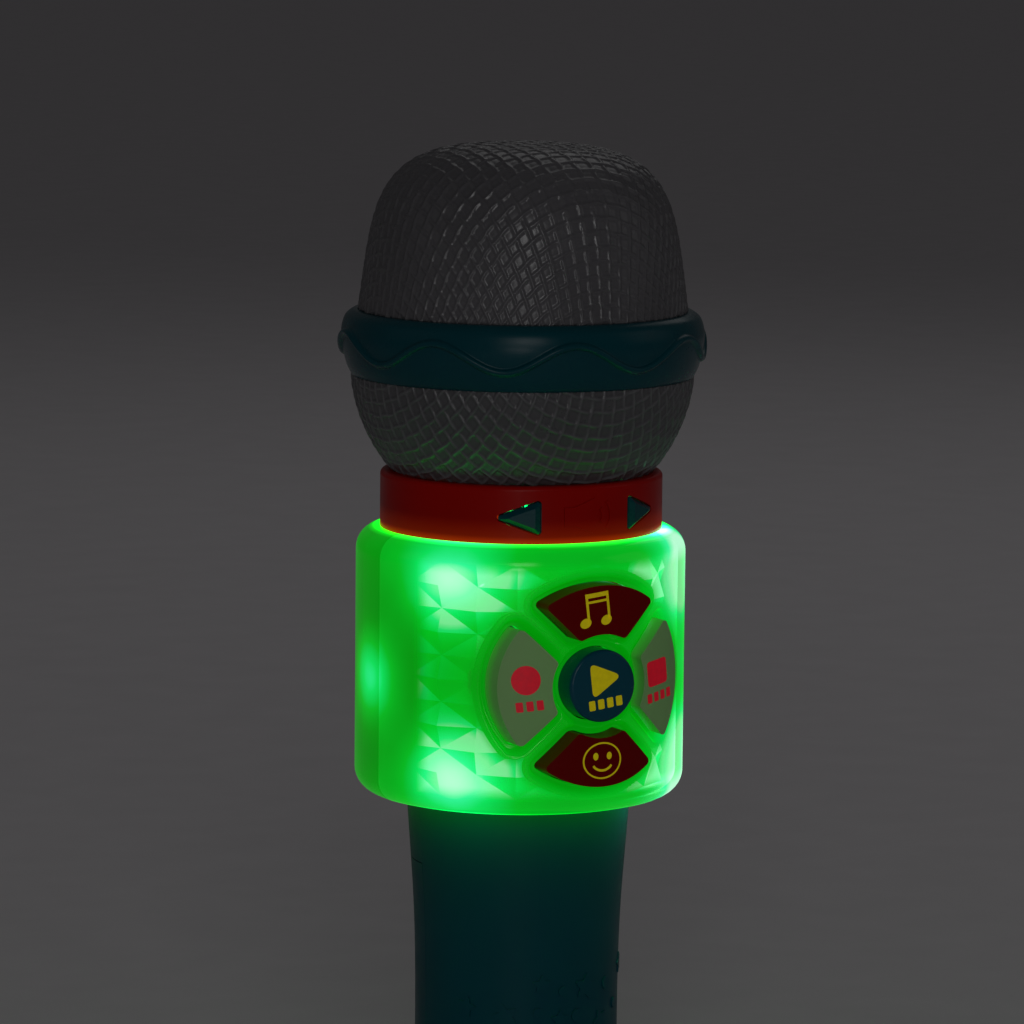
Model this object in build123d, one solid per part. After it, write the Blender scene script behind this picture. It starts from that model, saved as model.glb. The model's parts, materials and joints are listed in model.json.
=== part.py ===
"""Toy recording microphone: a mesh head in two halves, a banded collar, a lit body with buttons, a handle.

Millimetres. Origin at the centre of the flat base, +Z up, the button side faces -Y.
Each function builds one sub-part, and the list at the end writes one STEP file per sub-part.
"""

import os
from math import cos, radians, sin, sqrt

from build123d import *

# ---- driving dimensions ----
HANDLE_TOP = 101.0
BODY_TOP = 158.5
COLLAR_TOP = 170.6
BAND_BOTTOM = 191.2
BAND_TOP = 205.0
TOTAL_HEIGHT = 240.7

BODY_RADIUS = 35.42
BODY_EDGE = 5.0
BODY_WALL = 2.0
BODY_SEAM_Y = -3.0
COLLAR_RADIUS = 30.3
COLLAR_WALL = 2.0
BAND_RADIUS = 38.9
BAND_BORE = 34.1
RIDGE_WIDTH = 1.3
RIDGE_PROUD = 1.1
RIDGE_SWING = 2.85
RIDGE_Z = 198.15
RIDGE_PERIODS = 8
BOWL_RADIUS = 36.8
DOME_RADIUS = 35.4
GRILLE_WALL = 1.6

BASE_HEIGHT = 7.0
HANDLE_BORE = 19.8
HANDLE_UPPER_BORE = 21.0
HANDLE_NECK_RADIUS = 20.0
HANDLE_FLANGE_RADIUS = 22.5
HANDLE_FLANGE_TOP = 106.0
COVER_BOTTOM = 14.2
COVER_TOP = 86.3
COVER_SCREW_Z = 20.0

BUTTON_Z = 129.05
BUTTON_OUTER = 21.4
BUTTON_INNER = 11.0
BUTTON_WEB = 3.1
BUTTON_CORNER = 1.0
PLAY_RADIUS = 7.7
RED_FACE_RADIUS = 37.6
WHITE_FACE_RADIUS = 37.2
PLAY_FACE_Y = -37.6
MOAT_WIDTH = 1.9
MOAT_FLOOR_RADIUS = 33.3
CUP_INNER_RADIUS = 30.8
SLEEVE_END_Y = -20.6
FLANGE_FRONT_Y = -20.3
FLANGE_BACK_Y = -19.1

BOARD_FRONT_Y = -15.0
BOARD_THICK = 1.6
DOME_TOP_Y = -18.4
MAIN_BOARD_Y = 9.4
VOLUME_ANGLE = 29.5
VOLUME_Z = 164.0
VOLUME_BASE = 4.84
VOLUME_APEX = 4.99
VOLUME_HALF_HEIGHT = 3.6
VOLUME_FACE = 31.0

BATTERY_RADIUS = 7.25
BATTERY_BODY = 49.3
BATTERY_NUB = 1.2
TRAY_BOTTOM = 26.0
TRAY_TOP = 85.5
TRAY_WALL = 2.0
TRAY_RADIUS = 17.6
PLATE_THICK = 0.3
CELL_ROOM = TRAY_TOP - TRAY_BOTTOM - 2 * TRAY_WALL
SPRING_LENGTH = CELL_ROOM - 2 * PLATE_THICK - BATTERY_BODY - BATTERY_NUB
SPRING_WIRE = 0.35
CELL_PLACES = [(0.0, -8.6, 1), (-7.6, 4.6, -1), (7.6, 4.6, 1)]

SCREW_SHAFT = 1.3
SCREW_HOLE = 1.35
WIRE_RADIUS = 0.6
FAR = 60.0

# The side of the grip, as radius and height.
HANDLE_SIDE = [
    (23.8, 7.0), (22.7, 20.0), (22.0, 42.0), (22.0, 60.0), (22.45, 76.0), (23.45, 90.5), (24.2, 101.0),
]

# The slide switch at the back of the grip.
SWITCH_Z = 94.0
SWITCH_REST_X = 2.4

# Where the fasteners and lamps stand: (x, y), (x, z) or an angle about Z.
COLLAR_POSTS = [(-22.0, 4.0), (22.0, 4.0), (0.0, 22.0)]
COLLAR_SCREWS = [(-18.0, 0.0), (18.0, 0.0), (0.0, 16.0)]
SPEAKER_SCREWS = [45, 135, 225, 315]
SPEAKER_SCREW_RADIUS = 21.6
BRIDGE_LEGS = [30, 150, 270]
BRIDGE_LEG_RADIUS = 27.0
SHELL_BOSSES = [(x, z) for x in (-27.5, 27.5) for z in (113.2, 147.5)]
BOARD_SCREWS = [(x, z) for x in (-12.0, 12.0) for z in (109.6, 149.6)]
MAIN_SCREWS = [(x, z) for x in (-16.0, 16.0) for z in (115.0, 147.0)]
FRONT_LAMPS = [(x, z) for x in (-19.0, 19.0) for z in (110.4, 149.4)]
NECK_SCREWS = [(x, y) for x in (-16.5, 16.5) for y in (-5.0, 5.0)]
UPPER_HANDLE_SCREWS = [(-15.0, 93.6), (15.0, 93.6)]
LOWER_HANDLE_SCREWS = [(-11.5, 20.0), (11.5, 20.0)]
KEY_CENTRES = [(0.0, 0.0), (0.0, 16.2), (-16.2, 0.0), (0.0, -16.2), (16.2, 0.0)]

# ---- shared geometry ----
FRONT = Vector(0, -1, 0)
BACK = Vector(0, 1, 0)
UP = Vector(0, 0, 1)


def rod(radius, start, direction, length):
    """A cylinder from a start point along a direction."""
    circle = Plane(origin=start, z_dir=direction) * Circle(radius)
    return extrude(circle, length)


def tube(outer, inner, low, high):
    """An upright ring between two heights."""
    ring = Circle(outer) - Circle(inner)
    return extrude(Plane.XY.offset(low) * ring, high - low)


def disc(radius, low, high):
    """An upright cylinder between two heights."""
    return extrude(Plane.XY.offset(low) * Circle(radius), high - low)


def block(x_range, y_range, z_range):
    """A box given by its limits on each axis."""
    size = [high - low for low, high in (x_range, y_range, z_range)]
    middle = [(high + low) / 2 for low, high in (x_range, y_range, z_range)]
    return Pos(*middle) * Box(*size)


def spun(*edges):
    """A solid of revolution about Z from a closed outline in the XZ plane."""
    face = make_face([Plane.XZ * part for line in edges for part in line.edges()])
    return revolve(face, Axis.Z)


def front_prism(sketch, back_y, front_y, centre_z=BUTTON_Z):
    """Extrudes a sketch drawn in X and Z from one depth to another, towards the front."""
    plane = Plane(origin=(0, back_y, centre_z), x_dir=(1, 0, 0), z_dir=(0, -1, 0))
    return extrude(plane * sketch, back_y - front_y)


def front_half(shape, seam_y=0.0):
    """The part of a shape in front of the seam plane."""
    return shape & block((-FAR, FAR), (-FAR, seam_y), (-1, 300))


def rear_half(shape, seam_y=0.0):
    """The part of a shape behind the seam plane."""
    return shape & block((-FAR, FAR), (seam_y, FAR), (-1, 300))


def screw(head_start, direction, length, head_radius=2.2, head_height=1.6):
    """A pan-head screw: its head's underside is at head_start and its shaft runs along direction."""
    axis = Vector(*direction)
    under = Vector(*head_start)
    head = rod(head_radius, under - axis * head_height, axis, head_height)
    shaft = rod(SCREW_SHAFT, under, axis, length)
    slot_plane = Plane(origin=under - axis * head_height, z_dir=axis)
    cross = Rectangle(2.6, 0.6) + Rectangle(0.6, 2.6)
    return head + shaft - extrude(slot_plane * cross, 0.8)


def wire(points, radius=WIRE_RADIUS, bend=2.5):
    """A round lead along straight runs joined by arcs."""
    path = FilletPolyline(*points, radius=bend)
    section = Plane(origin=path @ 0, z_dir=path % 0) * Circle(radius)
    return sweep(section, path)


def on_circle(radius, angle, z):
    """A point at an angle about Z, counted from +X."""
    return Vector(radius * cos(radians(angle)), radius * sin(radians(angle)), z)


def group(shapes):
    """Several separate solids in one sub-part."""
    return Compound(children=[solid for shape in shapes for solid in shape.solids()])


# ---- head ----
def dome_outline(radius, height, z_low):
    """The upper grille's side: flat-topped, with a broad round shoulder."""
    count = 16
    points = []
    for k in range(count + 1):
        share = sin(radians(90 * k / count))
        side = radius - 4.7 * share
        points.append((side * (1 - share**4.86) ** 0.306, z_low + height * share))
    return points


def bowl_radius(z, radius):
    """The lower grille's radius at a height."""
    share = (BAND_BOTTOM - z) / 30.7
    return radius * (1 - share**1.64) ** 0.363


def grille_dome():
    height = TOTAL_HEIGHT - BAND_TOP
    outer = dome_outline(DOME_RADIUS, height, BAND_TOP)
    inner = dome_outline(DOME_RADIUS - GRILLE_WALL, height - GRILLE_WALL, BAND_TOP)
    shell = spun(
        Spline(*outer),
        Line((0, TOTAL_HEIGHT), (0, TOTAL_HEIGHT - GRILLE_WALL)),
        Spline(*inner),
        Line(inner[0], outer[0]),
    )
    return shell + tube(BAND_BORE - 0.1, 32.3, 197.0, BAND_TOP + 0.5)


def grille_bowl():
    low = COLLAR_TOP
    count = 8
    heights = [BAND_BOTTOM + (low - BAND_BOTTOM) * k / count for k in range(count + 1)]
    outer = [(bowl_radius(z, BOWL_RADIUS), z) for z in heights]
    inner = [(bowl_radius(z, BOWL_RADIUS) - GRILLE_WALL, z) for z in heights]
    shell = spun(
        Spline(*outer),
        Line(outer[-1], inner[-1]),
        Spline(*inner),
        Line(inner[0], outer[0]),
    )
    rim = tube(36.0, 32.3, 189.6, BAND_BOTTOM) + tube(BAND_BORE - 0.1, 32.3, 189.6, 197.0)
    ledge = tube(32.4, 30.5, 191.0, 193.0)
    floor = disc(28.1, 169.0, COLLAR_TOP + 0.2) - disc(12.0, 168.0, 172.0)
    bowl = shell + rim + ledge + floor
    for x, y in COLLAR_POSTS:
        bowl -= rod(1.6, (x, y, 168.0), UP, 5.0)
    return bowl


def band_form(proud=0.0):
    """The band's solid outer form, with its broad rounded side pushed out by an amount."""
    side = Spline(
        (36.7 + proud, BAND_BOTTOM),
        (37.9 + proud, 194.0),
        (BAND_RADIUS + proud, 199.5),
        (38.2 + proud, 203.3),
        (36.6 + proud, 204.8),
        (35.6 + proud, BAND_TOP),
    )
    top = (35.6 + proud, BAND_TOP)
    low = (36.7 + proud, BAND_BOTTOM)
    return spun(side, Polyline(top, (0, BAND_TOP), (0, BAND_BOTTOM), low))


def wave_edge(shift):
    """One period of the ridge's upper or lower edge, drawn flat against the band."""
    points = []
    for k in range(-8, 9):
        turn = 180 / RIDGE_PERIODS * k / 8
        rise = -RIDGE_SWING * cos(radians(RIDGE_PERIODS * turn))
        points.append((BAND_RADIUS * sin(radians(turn)), rise + shift))
    return Spline(*points, tangents=[(1, 0), (1, 0)])


def head_band():
    upper = wave_edge(RIDGE_WIDTH / 2)
    lower = wave_edge(-RIDGE_WIDTH / 2)
    ends = [Line(upper @ k, lower @ k) for k in (0, 1)]
    strip = make_face(upper.edges() + lower.edges() + ends[0].edges() + ends[1].edges())
    skin = band_form(RIDGE_PROUD) - band_form(-0.4)
    period = front_prism(strip, -30.0, -45.0, RIDGE_Z) & skin
    turns = [360 / RIDGE_PERIODS * (k + 0.25) for k in range(RIDGE_PERIODS)]
    band = band_form() - disc(BAND_BORE, 190, 206)
    return band + [Rot(0, 0, turn) * period for turn in turns]


def head_bulkhead():
    plate = disc(32.2, 193.0, 195.0) - disc(17.6, 192.0, 196.0)
    for angle in SPEAKER_SCREWS:
        plate -= rod(1.1, on_circle(SPEAKER_SCREW_RADIUS, angle, 192), UP, 5)
    for angle in BRIDGE_LEGS:
        plate -= rod(SCREW_HOLE, on_circle(BRIDGE_LEG_RADIUS, angle, 192), UP, 5)
    return plate - rod(2.4, (-26.0, 0, 192), UP, 5)


def speaker_frame():
    return spun(
        Polyline(
            (20.0, 195.0), (20.0, 196.2), (16.6, 196.2), (9.0, 190.2), (9.0, 189.0), (10.0, 189.0),
            (17.4, 195.0), (20.0, 195.0),
        )
    )


def speaker_magnet():
    ring = disc(9.0, 184.0, 190.2) - disc(4.6, 186.0, 191.0)
    return ring + disc(3.2, 184.0, 190.8)


def cap_arc(top, edge, edge_z):
    """An arc centred on the axis, from the axis down to an edge."""
    rise = top - edge_z
    radius = (edge**2 + rise**2) / (2 * rise)
    middle = (edge / 2, top - radius + sqrt(radius**2 - edge**2 / 4))
    return ThreePointArc((0, top), middle, (edge, edge_z))


def speaker_cone():
    """The paper cone with its surround, voice-coil tube and dust cap."""
    return spun(
        cap_arc(194.2, 4.3, 192.5),
        Polyline((4.3, 192.5), (14.6, 196.9), (16.2, 196.9), (16.2, 196.4), (14.8, 196.4)),
        Polyline((14.8, 196.4), (4.3, 191.9), (4.3, 187.0), (3.9, 187.0), (3.9, 192.1)),
        cap_arc(193.8, 3.9, 192.1),
        Line((0, 193.8), (0, 194.2)),
    )


def speaker_screws():
    screws = []
    for angle in SPEAKER_SCREWS:
        place = on_circle(SPEAKER_SCREW_RADIUS, angle, 196.2)
        shaft = rod(1.05, place, -UP, 5.6)
        screws.append(shaft + rod(2.4, place, UP, 1.3) - rod(0.8, place + UP * 0.8, UP, 1))
    return group(screws)


def microphone_bridge():
    bridge = disc(7.0, 222.0, 230.0) - disc(5.4, 224.0, 231.0) - disc(2.5, 221.0, 225.0)
    for angle in BRIDGE_LEGS:
        place = on_circle(BRIDGE_LEG_RADIUS, angle, 195.0)
        leg = rod(2.6, place, UP, 29.0) - rod(SCREW_HOLE, place, UP, 8.0)
        spoke = Rot(0, 0, angle) * block((6.0, 27.0), (-2.0, 2.0), (222.0, 224.0))
        bridge += leg + spoke
    return bridge


def microphone_boot():
    return disc(5.4, 224.0, 231.5) - disc(3.1, 226.0, 232.0) - disc(1.6, 223.0, 227.0)


def microphone_capsule():
    can = disc(3.1, 226.0, 230.5)
    return can - disc(2.4, 230.2, 231.0)


def bridge_screws():
    screws = []
    for angle in BRIDGE_LEGS:
        screws.append(screw(on_circle(BRIDGE_LEG_RADIUS, angle, 193.0), (0, 0, 1), 8.5))
    return group(screws)


# ---- collar and volume buttons ----
def volume_plane(side, distance=0.0):
    """The plane square to a volume button's travel, with local x to the right and local y up."""
    turn = radians(side * VOLUME_ANGLE)
    out = Vector(sin(turn), -cos(turn), 0)
    return Plane(origin=out * distance + Vector(0, 0, VOLUME_Z), x_dir=(cos(turn), sin(turn), 0), z_dir=out)


def arrow_outline(side, grow=0.0):
    """The triangle of a volume button, drawn in its own plane with its tip away from the middle."""
    slope = sqrt((VOLUME_BASE + VOLUME_APEX) ** 2 + VOLUME_HALF_HEIGHT**2)
    tip = VOLUME_APEX + grow * slope / VOLUME_HALF_HEIGHT
    base = -VOLUME_BASE - grow
    half = VOLUME_HALF_HEIGHT * (tip - base) / (VOLUME_BASE + VOLUME_APEX)
    points = [(side * base, half), (side * base, -half), (side * tip, 0)]
    if side < 0:
        points.reverse()
    return fillet(Polygon(*points, align=None).vertices(), max(0.5 + grow, 0.15))


def volume_button(side):
    shoulder = VOLUME_FACE - 1.0
    arrow = extrude(volume_plane(side, 26.6) * arrow_outline(side), shoulder - 26.6)
    low_edge = volume_plane(side, shoulder) * arrow_outline(side)
    top_edge = volume_plane(side, VOLUME_FACE) * arrow_outline(side, -1.0)
    arrow += loft([low_edge, top_edge], ruled=True)
    flange = Pos(side * -1.45, 0) * Rectangle(8.9, 7.4)
    body = arrow + extrude(volume_plane(side, 26.0) * flange, 1.2)
    return body + extrude(volume_plane(side, 24.5) * Circle(1.8), 2.0)


def speaker_mark():
    """A plain raised loudspeaker sign between the volume buttons, drawn in X and Z."""
    box = Pos(-4.5, 0.15) * Rectangle(2.2, 4.0)
    horn = Polygon((-3.4, 2.1), (-3.4, -1.8), (1.2, -3.6), (1.2, 3.9), align=None)
    mark = box + horn
    for radius in (2.2, 4.3):
        ring = Circle(radius + 0.35) - Circle(radius - 0.35)
        wedge = Polygon((0, 0), (9, 8), (9, -8), align=None)
        mark += Pos(1.2, 0.15) * (ring & wedge)
    return mark


def neck_collar():
    wall = tube(COLLAR_RADIUS, COLLAR_RADIUS - COLLAR_WALL, BODY_TOP, COLLAR_TOP)
    wall = fillet(wall.edges().group_by(Axis.Z)[-1].sort_by(SortBy.LENGTH)[-1:], 1.0)
    floor = tube(COLLAR_RADIUS - 0.5, 12.0, BODY_TOP, BODY_TOP + 1.5)
    neck = tube(25.0, 22.0, 154.3, BODY_TOP + 0.5) + tube(27.0, 22.0, 154.3, 156.3)
    collar = wall + floor + neck
    for x, y in COLLAR_SCREWS:
        collar += rod(3.0, (x, y, 154.3), UP, 5.0)
        collar -= rod(SCREW_HOLE, (x, y, 154.0), UP, 5.2)
    for x, y in COLLAR_POSTS:
        collar += rod(3.0, (x, y, 159.0), UP, 10.0)
        collar -= rod(SCREW_HOLE, (x, y, 161.0), UP, 9.0)
    for side in (-1, 1):
        collar -= extrude(volume_plane(side, 26.5) * arrow_outline(side, 0.3), 6.0)
    ring = tube(COLLAR_RADIUS + 0.3, COLLAR_RADIUS - 0.5, 159.0, 170.0)
    return collar + (front_prism(speaker_mark(), -25.0, -35.0, VOLUME_Z) & ring)


def volume_board():
    ring = tube(24.0, 12.6, 160.0, 161.2)
    wedge = Polygon((0, 2.0), (-30, -16), (-30, -40), (30, -40), (30, -16), align=None)
    return ring & extrude(Plane.XY.offset(159) * wedge, 4)


def volume_switches():
    switches = []
    for side in (-1, 1):
        body = extrude(volume_plane(side, 17.6) * Pos(0, -0.2) * Rectangle(6.0, 5.2), 3.4)
        switches.append(body + extrude(volume_plane(side, 21.0) * Circle(1.2), 2.3))
    return group(switches)


def bowl_screws():
    return group([screw((x, y, COLLAR_TOP + 0.2), (0, 0, -1), 8.0) for x, y in COLLAR_POSTS])


def collar_screws():
    return group([screw((x, y, 152.3), (0, 0, 1), 6.4) for x, y in COLLAR_SCREWS])


# ---- lit body ----
def rounded_drum(radius, low, high, edge):
    drum = disc(radius, low, high)
    return fillet(drum.edges(), edge)


def body_shell():
    outer = rounded_drum(BODY_RADIUS, HANDLE_TOP, BODY_TOP, BODY_EDGE)
    cavity = rounded_drum(
        BODY_RADIUS - BODY_WALL, HANDLE_TOP + BODY_WALL, BODY_TOP - BODY_WALL, BODY_EDGE - BODY_WALL
    )
    handle_hole = disc(HANDLE_NECK_RADIUS + 0.3, HANDLE_TOP - 1, HANDLE_TOP + 3)
    collar_hole = disc(25.3, BODY_TOP - 3, BODY_TOP + 1)
    return outer - cavity - handle_hole - collar_hole


def sector_outline(grow=0.0):
    """One of the four outer buttons: a quarter ring with sides parallel to the diagonals."""
    ring = Circle(BUTTON_OUTER + grow) - Circle(BUTTON_INNER - grow)
    apex = (BUTTON_WEB - grow) * sqrt(2)
    wedge = Polygon((0, apex), (FAR, apex + FAR), (-FAR, apex + FAR), align=None)
    corner = max(BUTTON_CORNER + grow, 0.3)
    return fillet((ring & wedge).vertices(), corner)


def button_outlines(grow=0.0):
    """The outlines of all five buttons, in the order top, left, bottom, right, middle."""
    sectors = [Rot(0, 0, 90 * turn) * sector_outline(grow) for turn in range(4)]
    return sectors + [Circle(PLAY_RADIUS + grow)]


def light_shell_front():
    shell = front_half(body_shell(), BODY_SEAM_Y)
    skin = tube(BODY_RADIUS - 1.0, CUP_INNER_RADIUS, HANDLE_TOP, BODY_TOP)
    outside = tube(FAR, MOAT_FLOOR_RADIUS, HANDLE_TOP - 1, BODY_TOP + 1)
    inside = disc(MOAT_FLOOR_RADIUS - 0.5, HANDLE_TOP, BODY_TOP)
    for outline in button_outlines(MOAT_WIDTH + 1.5):
        shell += front_prism(outline, SLEEVE_END_Y, -FAR) & skin
    for outline in button_outlines(1.45):
        shell += front_prism(outline, SLEEVE_END_Y, -FAR) & inside
    for outline in button_outlines(MOAT_WIDTH):
        shell -= front_prism(outline, SLEEVE_END_Y, -FAR) & outside
    for outline in button_outlines(0.25):
        shell -= front_prism(outline, SLEEVE_END_Y + 1, -FAR)
    for x, z in SHELL_BOSSES:
        side = 1 if x > 0 else -1
        rib = block(sorted((x, side * 33.0)), (-6.5, BODY_SEAM_Y), (z - 1.5, z + 1.5))
        shell += rod(2.6, (x, BODY_SEAM_Y, z), FRONT, 4.8) + rib
        shell -= rod(SCREW_HOLE, (x, BODY_SEAM_Y + 1, z), FRONT, 6.5)
    return shell


def light_shell_rear():
    shell = rear_half(body_shell(), BODY_SEAM_Y)
    limit = disc(BODY_RADIUS - 0.5, HANDLE_TOP, BODY_TOP)
    for x, z in SHELL_BOSSES:
        shell += rod(3.8, (x, BODY_SEAM_Y, z), BACK, 40) & limit
        shell -= rod(1.5, (x, BODY_SEAM_Y - 1, z), BACK, 40)
        shell -= rod(2.5, (x, 8.0, z), BACK, 40)
    return shell


def shell_screws():
    return group([screw((x, 8.0, z), (0, -1, 0), 15.4) for x, z in SHELL_BOSSES])


def light_diffuser():
    sleeve = tube(32.9, 31.0, 104.6, 154.9)
    reach = FAR * 1.4
    wedge = Polygon(
        (0, 0), (-reach * sin(radians(75)), -reach * cos(radians(75))), (0, -2 * reach),
        (reach * sin(radians(75)), -reach * cos(radians(75))), align=None,
    )
    sleeve &= extrude(Plane.XY.offset(100) * wedge, 60)
    for outline in button_outlines(MOAT_WIDTH + 1.8):
        sleeve -= front_prism(outline, 0, -FAR)
    return max(sleeve.solids(), key=lambda solid: solid.volume)


def face_button(index, face_radius):
    """One of the four outer buttons: a hollow cap with a retaining flange and a centre post."""
    outline = button_outlines()[index]
    cylinder = disc(face_radius, HANDLE_TOP, BODY_TOP)
    cap = front_prism(outline, FLANGE_BACK_Y, -FAR) & cylinder
    hollow = front_prism(button_outlines(-1.6)[index], FLANGE_BACK_Y + 1, -FAR)
    hollow &= disc(face_radius - 1.8, HANDLE_TOP, BODY_TOP)
    flange = front_prism(button_outlines(1.2)[index], FLANGE_BACK_Y, FLANGE_FRONT_Y)
    post_x, post_z = KEY_CENTRES[index + 1]
    post = rod(2.0, (post_x, DOME_TOP_Y - 0.05, BUTTON_Z + post_z), FRONT, 40) & cylinder
    return (cap + flange) - hollow + post


def music_button():
    return face_button(0, RED_FACE_RADIUS)


def record_button():
    return face_button(1, WHITE_FACE_RADIUS)


def voice_button():
    return face_button(2, RED_FACE_RADIUS)


def stop_button():
    return face_button(3, WHITE_FACE_RADIUS)


def play_button():
    centre = (0, FLANGE_BACK_Y, BUTTON_Z)
    cap = rod(PLAY_RADIUS, centre, FRONT, FLANGE_BACK_Y - PLAY_FACE_Y)
    cap = fillet(cap.edges().group_by(Axis.Y)[0], 0.8)
    flange = rod(PLAY_RADIUS + 0.8, centre, FRONT, FLANGE_BACK_Y - FLANGE_FRONT_Y)
    inside_y = PLAY_FACE_Y + 1.8
    hollow = rod(PLAY_RADIUS - 1.6, (0, FLANGE_BACK_Y + 1, BUTTON_Z), FRONT, FLANGE_BACK_Y + 1 - inside_y)
    post = rod(2.0, (0, DOME_TOP_Y - 0.05, BUTTON_Z), FRONT, DOME_TOP_Y - inside_y + 0.5)
    return (cap + flange) - hollow + post


def keypad():
    """The rubber sheet behind the buttons, with a hollow dome under each one."""
    sheet = rod(20.6, (0, BOARD_FRONT_Y, BUTTON_Z), FRONT, 1.2)
    for x, z in KEY_CENTRES:
        base = Plane(origin=(x, BOARD_FRONT_Y - 1.2, BUTTON_Z + z), z_dir=FRONT)
        dome = loft([base * Circle(4.0), base.offset(BOARD_FRONT_Y - 1.2 - DOME_TOP_Y) * Circle(2.9)])
        hollow = rod(2.6, (x, BOARD_FRONT_Y + 1, BUTTON_Z + z), FRONT, 2.4)
        sheet = sheet + dome - hollow
    return sheet


def keypad_board():
    back = BOARD_FRONT_Y + BOARD_THICK
    board = block((-22, 22), (BOARD_FRONT_Y, back), (107.2, 152.6))
    for x, z in BOARD_SCREWS:
        board -= rod(1.4, (x, back + 1, z), FRONT, 5)
    return board


def lamp(start, direction):
    """A round light-emitting diode: a rim, a barrel and a domed end."""
    axis = Vector(*direction)
    base = Vector(*start)
    barrel = rod(2.5, base + axis * 1.0, axis, 3.6)
    barrel = barrel + (Pos(*(base + axis * 4.6)) * Sphere(2.5))
    return rod(2.9, base, axis, 1.0) + barrel


def front_lamps():
    return group([lamp((x, BOARD_FRONT_Y, z), (0, -1, 0)) for x, z in FRONT_LAMPS])


def side_lamps():
    places = [(-20.0, -1), (20.0, 1)]
    return group([lamp((x, MAIN_BOARD_Y + 3.7, 129.0), (side, 0, 0)) for x, side in places])


def main_board():
    board = block((-20, 20), (MAIN_BOARD_Y, MAIN_BOARD_Y + BOARD_THICK), (112.0, 150.0))
    for x, z in MAIN_SCREWS:
        board -= rod(1.4, (x, MAIN_BOARD_Y - 1, z), BACK, 5)
    return board


def main_board_parts():
    """The sealed chip, two capacitors, a crystal, a connector and the lamp blocks on the rear board."""
    face = MAIN_BOARD_Y + BOARD_THICK
    chip = rod(5.5, (0, face, 133.0), BACK, 1.0)
    capacitors = [rod(3.1, (x, face, 121.0), BACK, 7.5) for x in (-10.0, 10.0)]
    crystal = block((-3.0, 3.0), (face, face + 3.0), (118.0, 121.0))
    connector = block((-9.0, -1.0), (face, face + 4.0), (141.0, 145.0))
    lamp_blocks = [block(sorted((s * 14.0, s * 20.0)), (face, face + 5.0), (126.0, 132.0)) for s in (-1, 1)]
    return group([chip, crystal, connector] + capacitors + lamp_blocks)


def inner_chassis():
    front_y = BOARD_FRONT_Y + BOARD_THICK
    lower = disc(26.0, HANDLE_FLANGE_TOP, 108.2) - disc(10.0, 105, 110)
    upper = disc(26.0, 152.3, 154.3) - disc(12.0, 151, 155) - block((-5, 5), (-20, -8), (151, 155))
    plates = block((-22, 22), (front_y, front_y + 2), (108.0, 152.5))
    plates += block((-19, 19), (MAIN_BOARD_Y - 2, MAIN_BOARD_Y), (108.0, 152.5))
    for x in (-8.0, 8.0):
        plates += block((x - 1, x + 1), (front_y + 1, MAIN_BOARD_Y - 1), (108.0, 152.5))
    chassis = (lower + upper + plates) & block((-FAR, FAR), (front_y, FAR), (100, 160))
    for x, z in BOARD_SCREWS:
        chassis += rod(2.6, (x, front_y + 1, z), BACK, 6.0)
        chassis -= rod(SCREW_HOLE, (x, front_y - 1, z), BACK, 7.0)
    for x, z in MAIN_SCREWS:
        chassis += rod(2.6, (x, MAIN_BOARD_Y - 1, z), FRONT, 6.0)
        chassis -= rod(SCREW_HOLE, (x, MAIN_BOARD_Y + 1, z), FRONT, 7.0)
    for x, y in COLLAR_SCREWS:
        chassis -= rod(1.6, (x, y, 151), UP, 5)
    for x, y in NECK_SCREWS:
        chassis -= rod(1.6, (x, y, 105), UP, 5)
    lead_notches = block((-5, 5), (6.0, 11.6), (105, 112.6)) + block((-7.2, 7.2), (6.6, 12.2), (150.2, 155))
    return chassis - lead_notches - block((-5, 5), (-20, 20), (119.0, 121.4))


def board_screws():
    front = [screw((x, BOARD_FRONT_Y, z), (0, 1, 0), 6.6) for x, z in BOARD_SCREWS]
    rear = [screw((x, MAIN_BOARD_Y + BOARD_THICK, z), (0, -1, 0), 6.6) for x, z in MAIN_SCREWS]
    return group(front + rear)


def neck_screws():
    return group([screw((x, y, 108.2), (0, 0, -1), 10.0) for x, y in NECK_SCREWS])


# ---- handle ----
def handle_form(proud=0.0):
    """The handle's outer form, solid, up to the underside of the lit body."""
    side = [(radius + proud, z) for radius, z in HANDLE_SIDE]
    low = side[0]
    high = side[-1]
    return spun(Spline(*side), Polyline(high, (0, high[1]), (0, low[1]), low))


def handle_hull():
    """The whole handle shell before it is split into a front and a rear half."""
    top = disc(HANDLE_NECK_RADIUS, HANDLE_TOP - 0.5, 104.0)
    flange = disc(HANDLE_FLANGE_RADIUS, 103.2, HANDLE_FLANGE_TOP)
    hull = handle_form() + top + flange
    hull -= disc(17.2, 6.0, 10.0)
    hull -= disc(HANDLE_BORE, 9.1, 88.0)
    hull -= disc(HANDLE_UPPER_BORE, 87.5, 99.5)
    hull -= disc(HANDLE_NECK_RADIUS - 2.0, 98.0, 103.8)
    hull -= disc(9.0, 103.0, 108.0)
    return hull


def star_outline(size, turn):
    """A soft five-pointed star."""
    points = []
    for k in range(10):
        reach = size / 2 if k % 2 == 0 else size * 0.23
        angle = radians(90 + turn + 36 * k)
        points.append((reach * cos(angle), reach * sin(angle)))
    return fillet(Polygon(*points, align=None).vertices(), size * 0.05)


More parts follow.
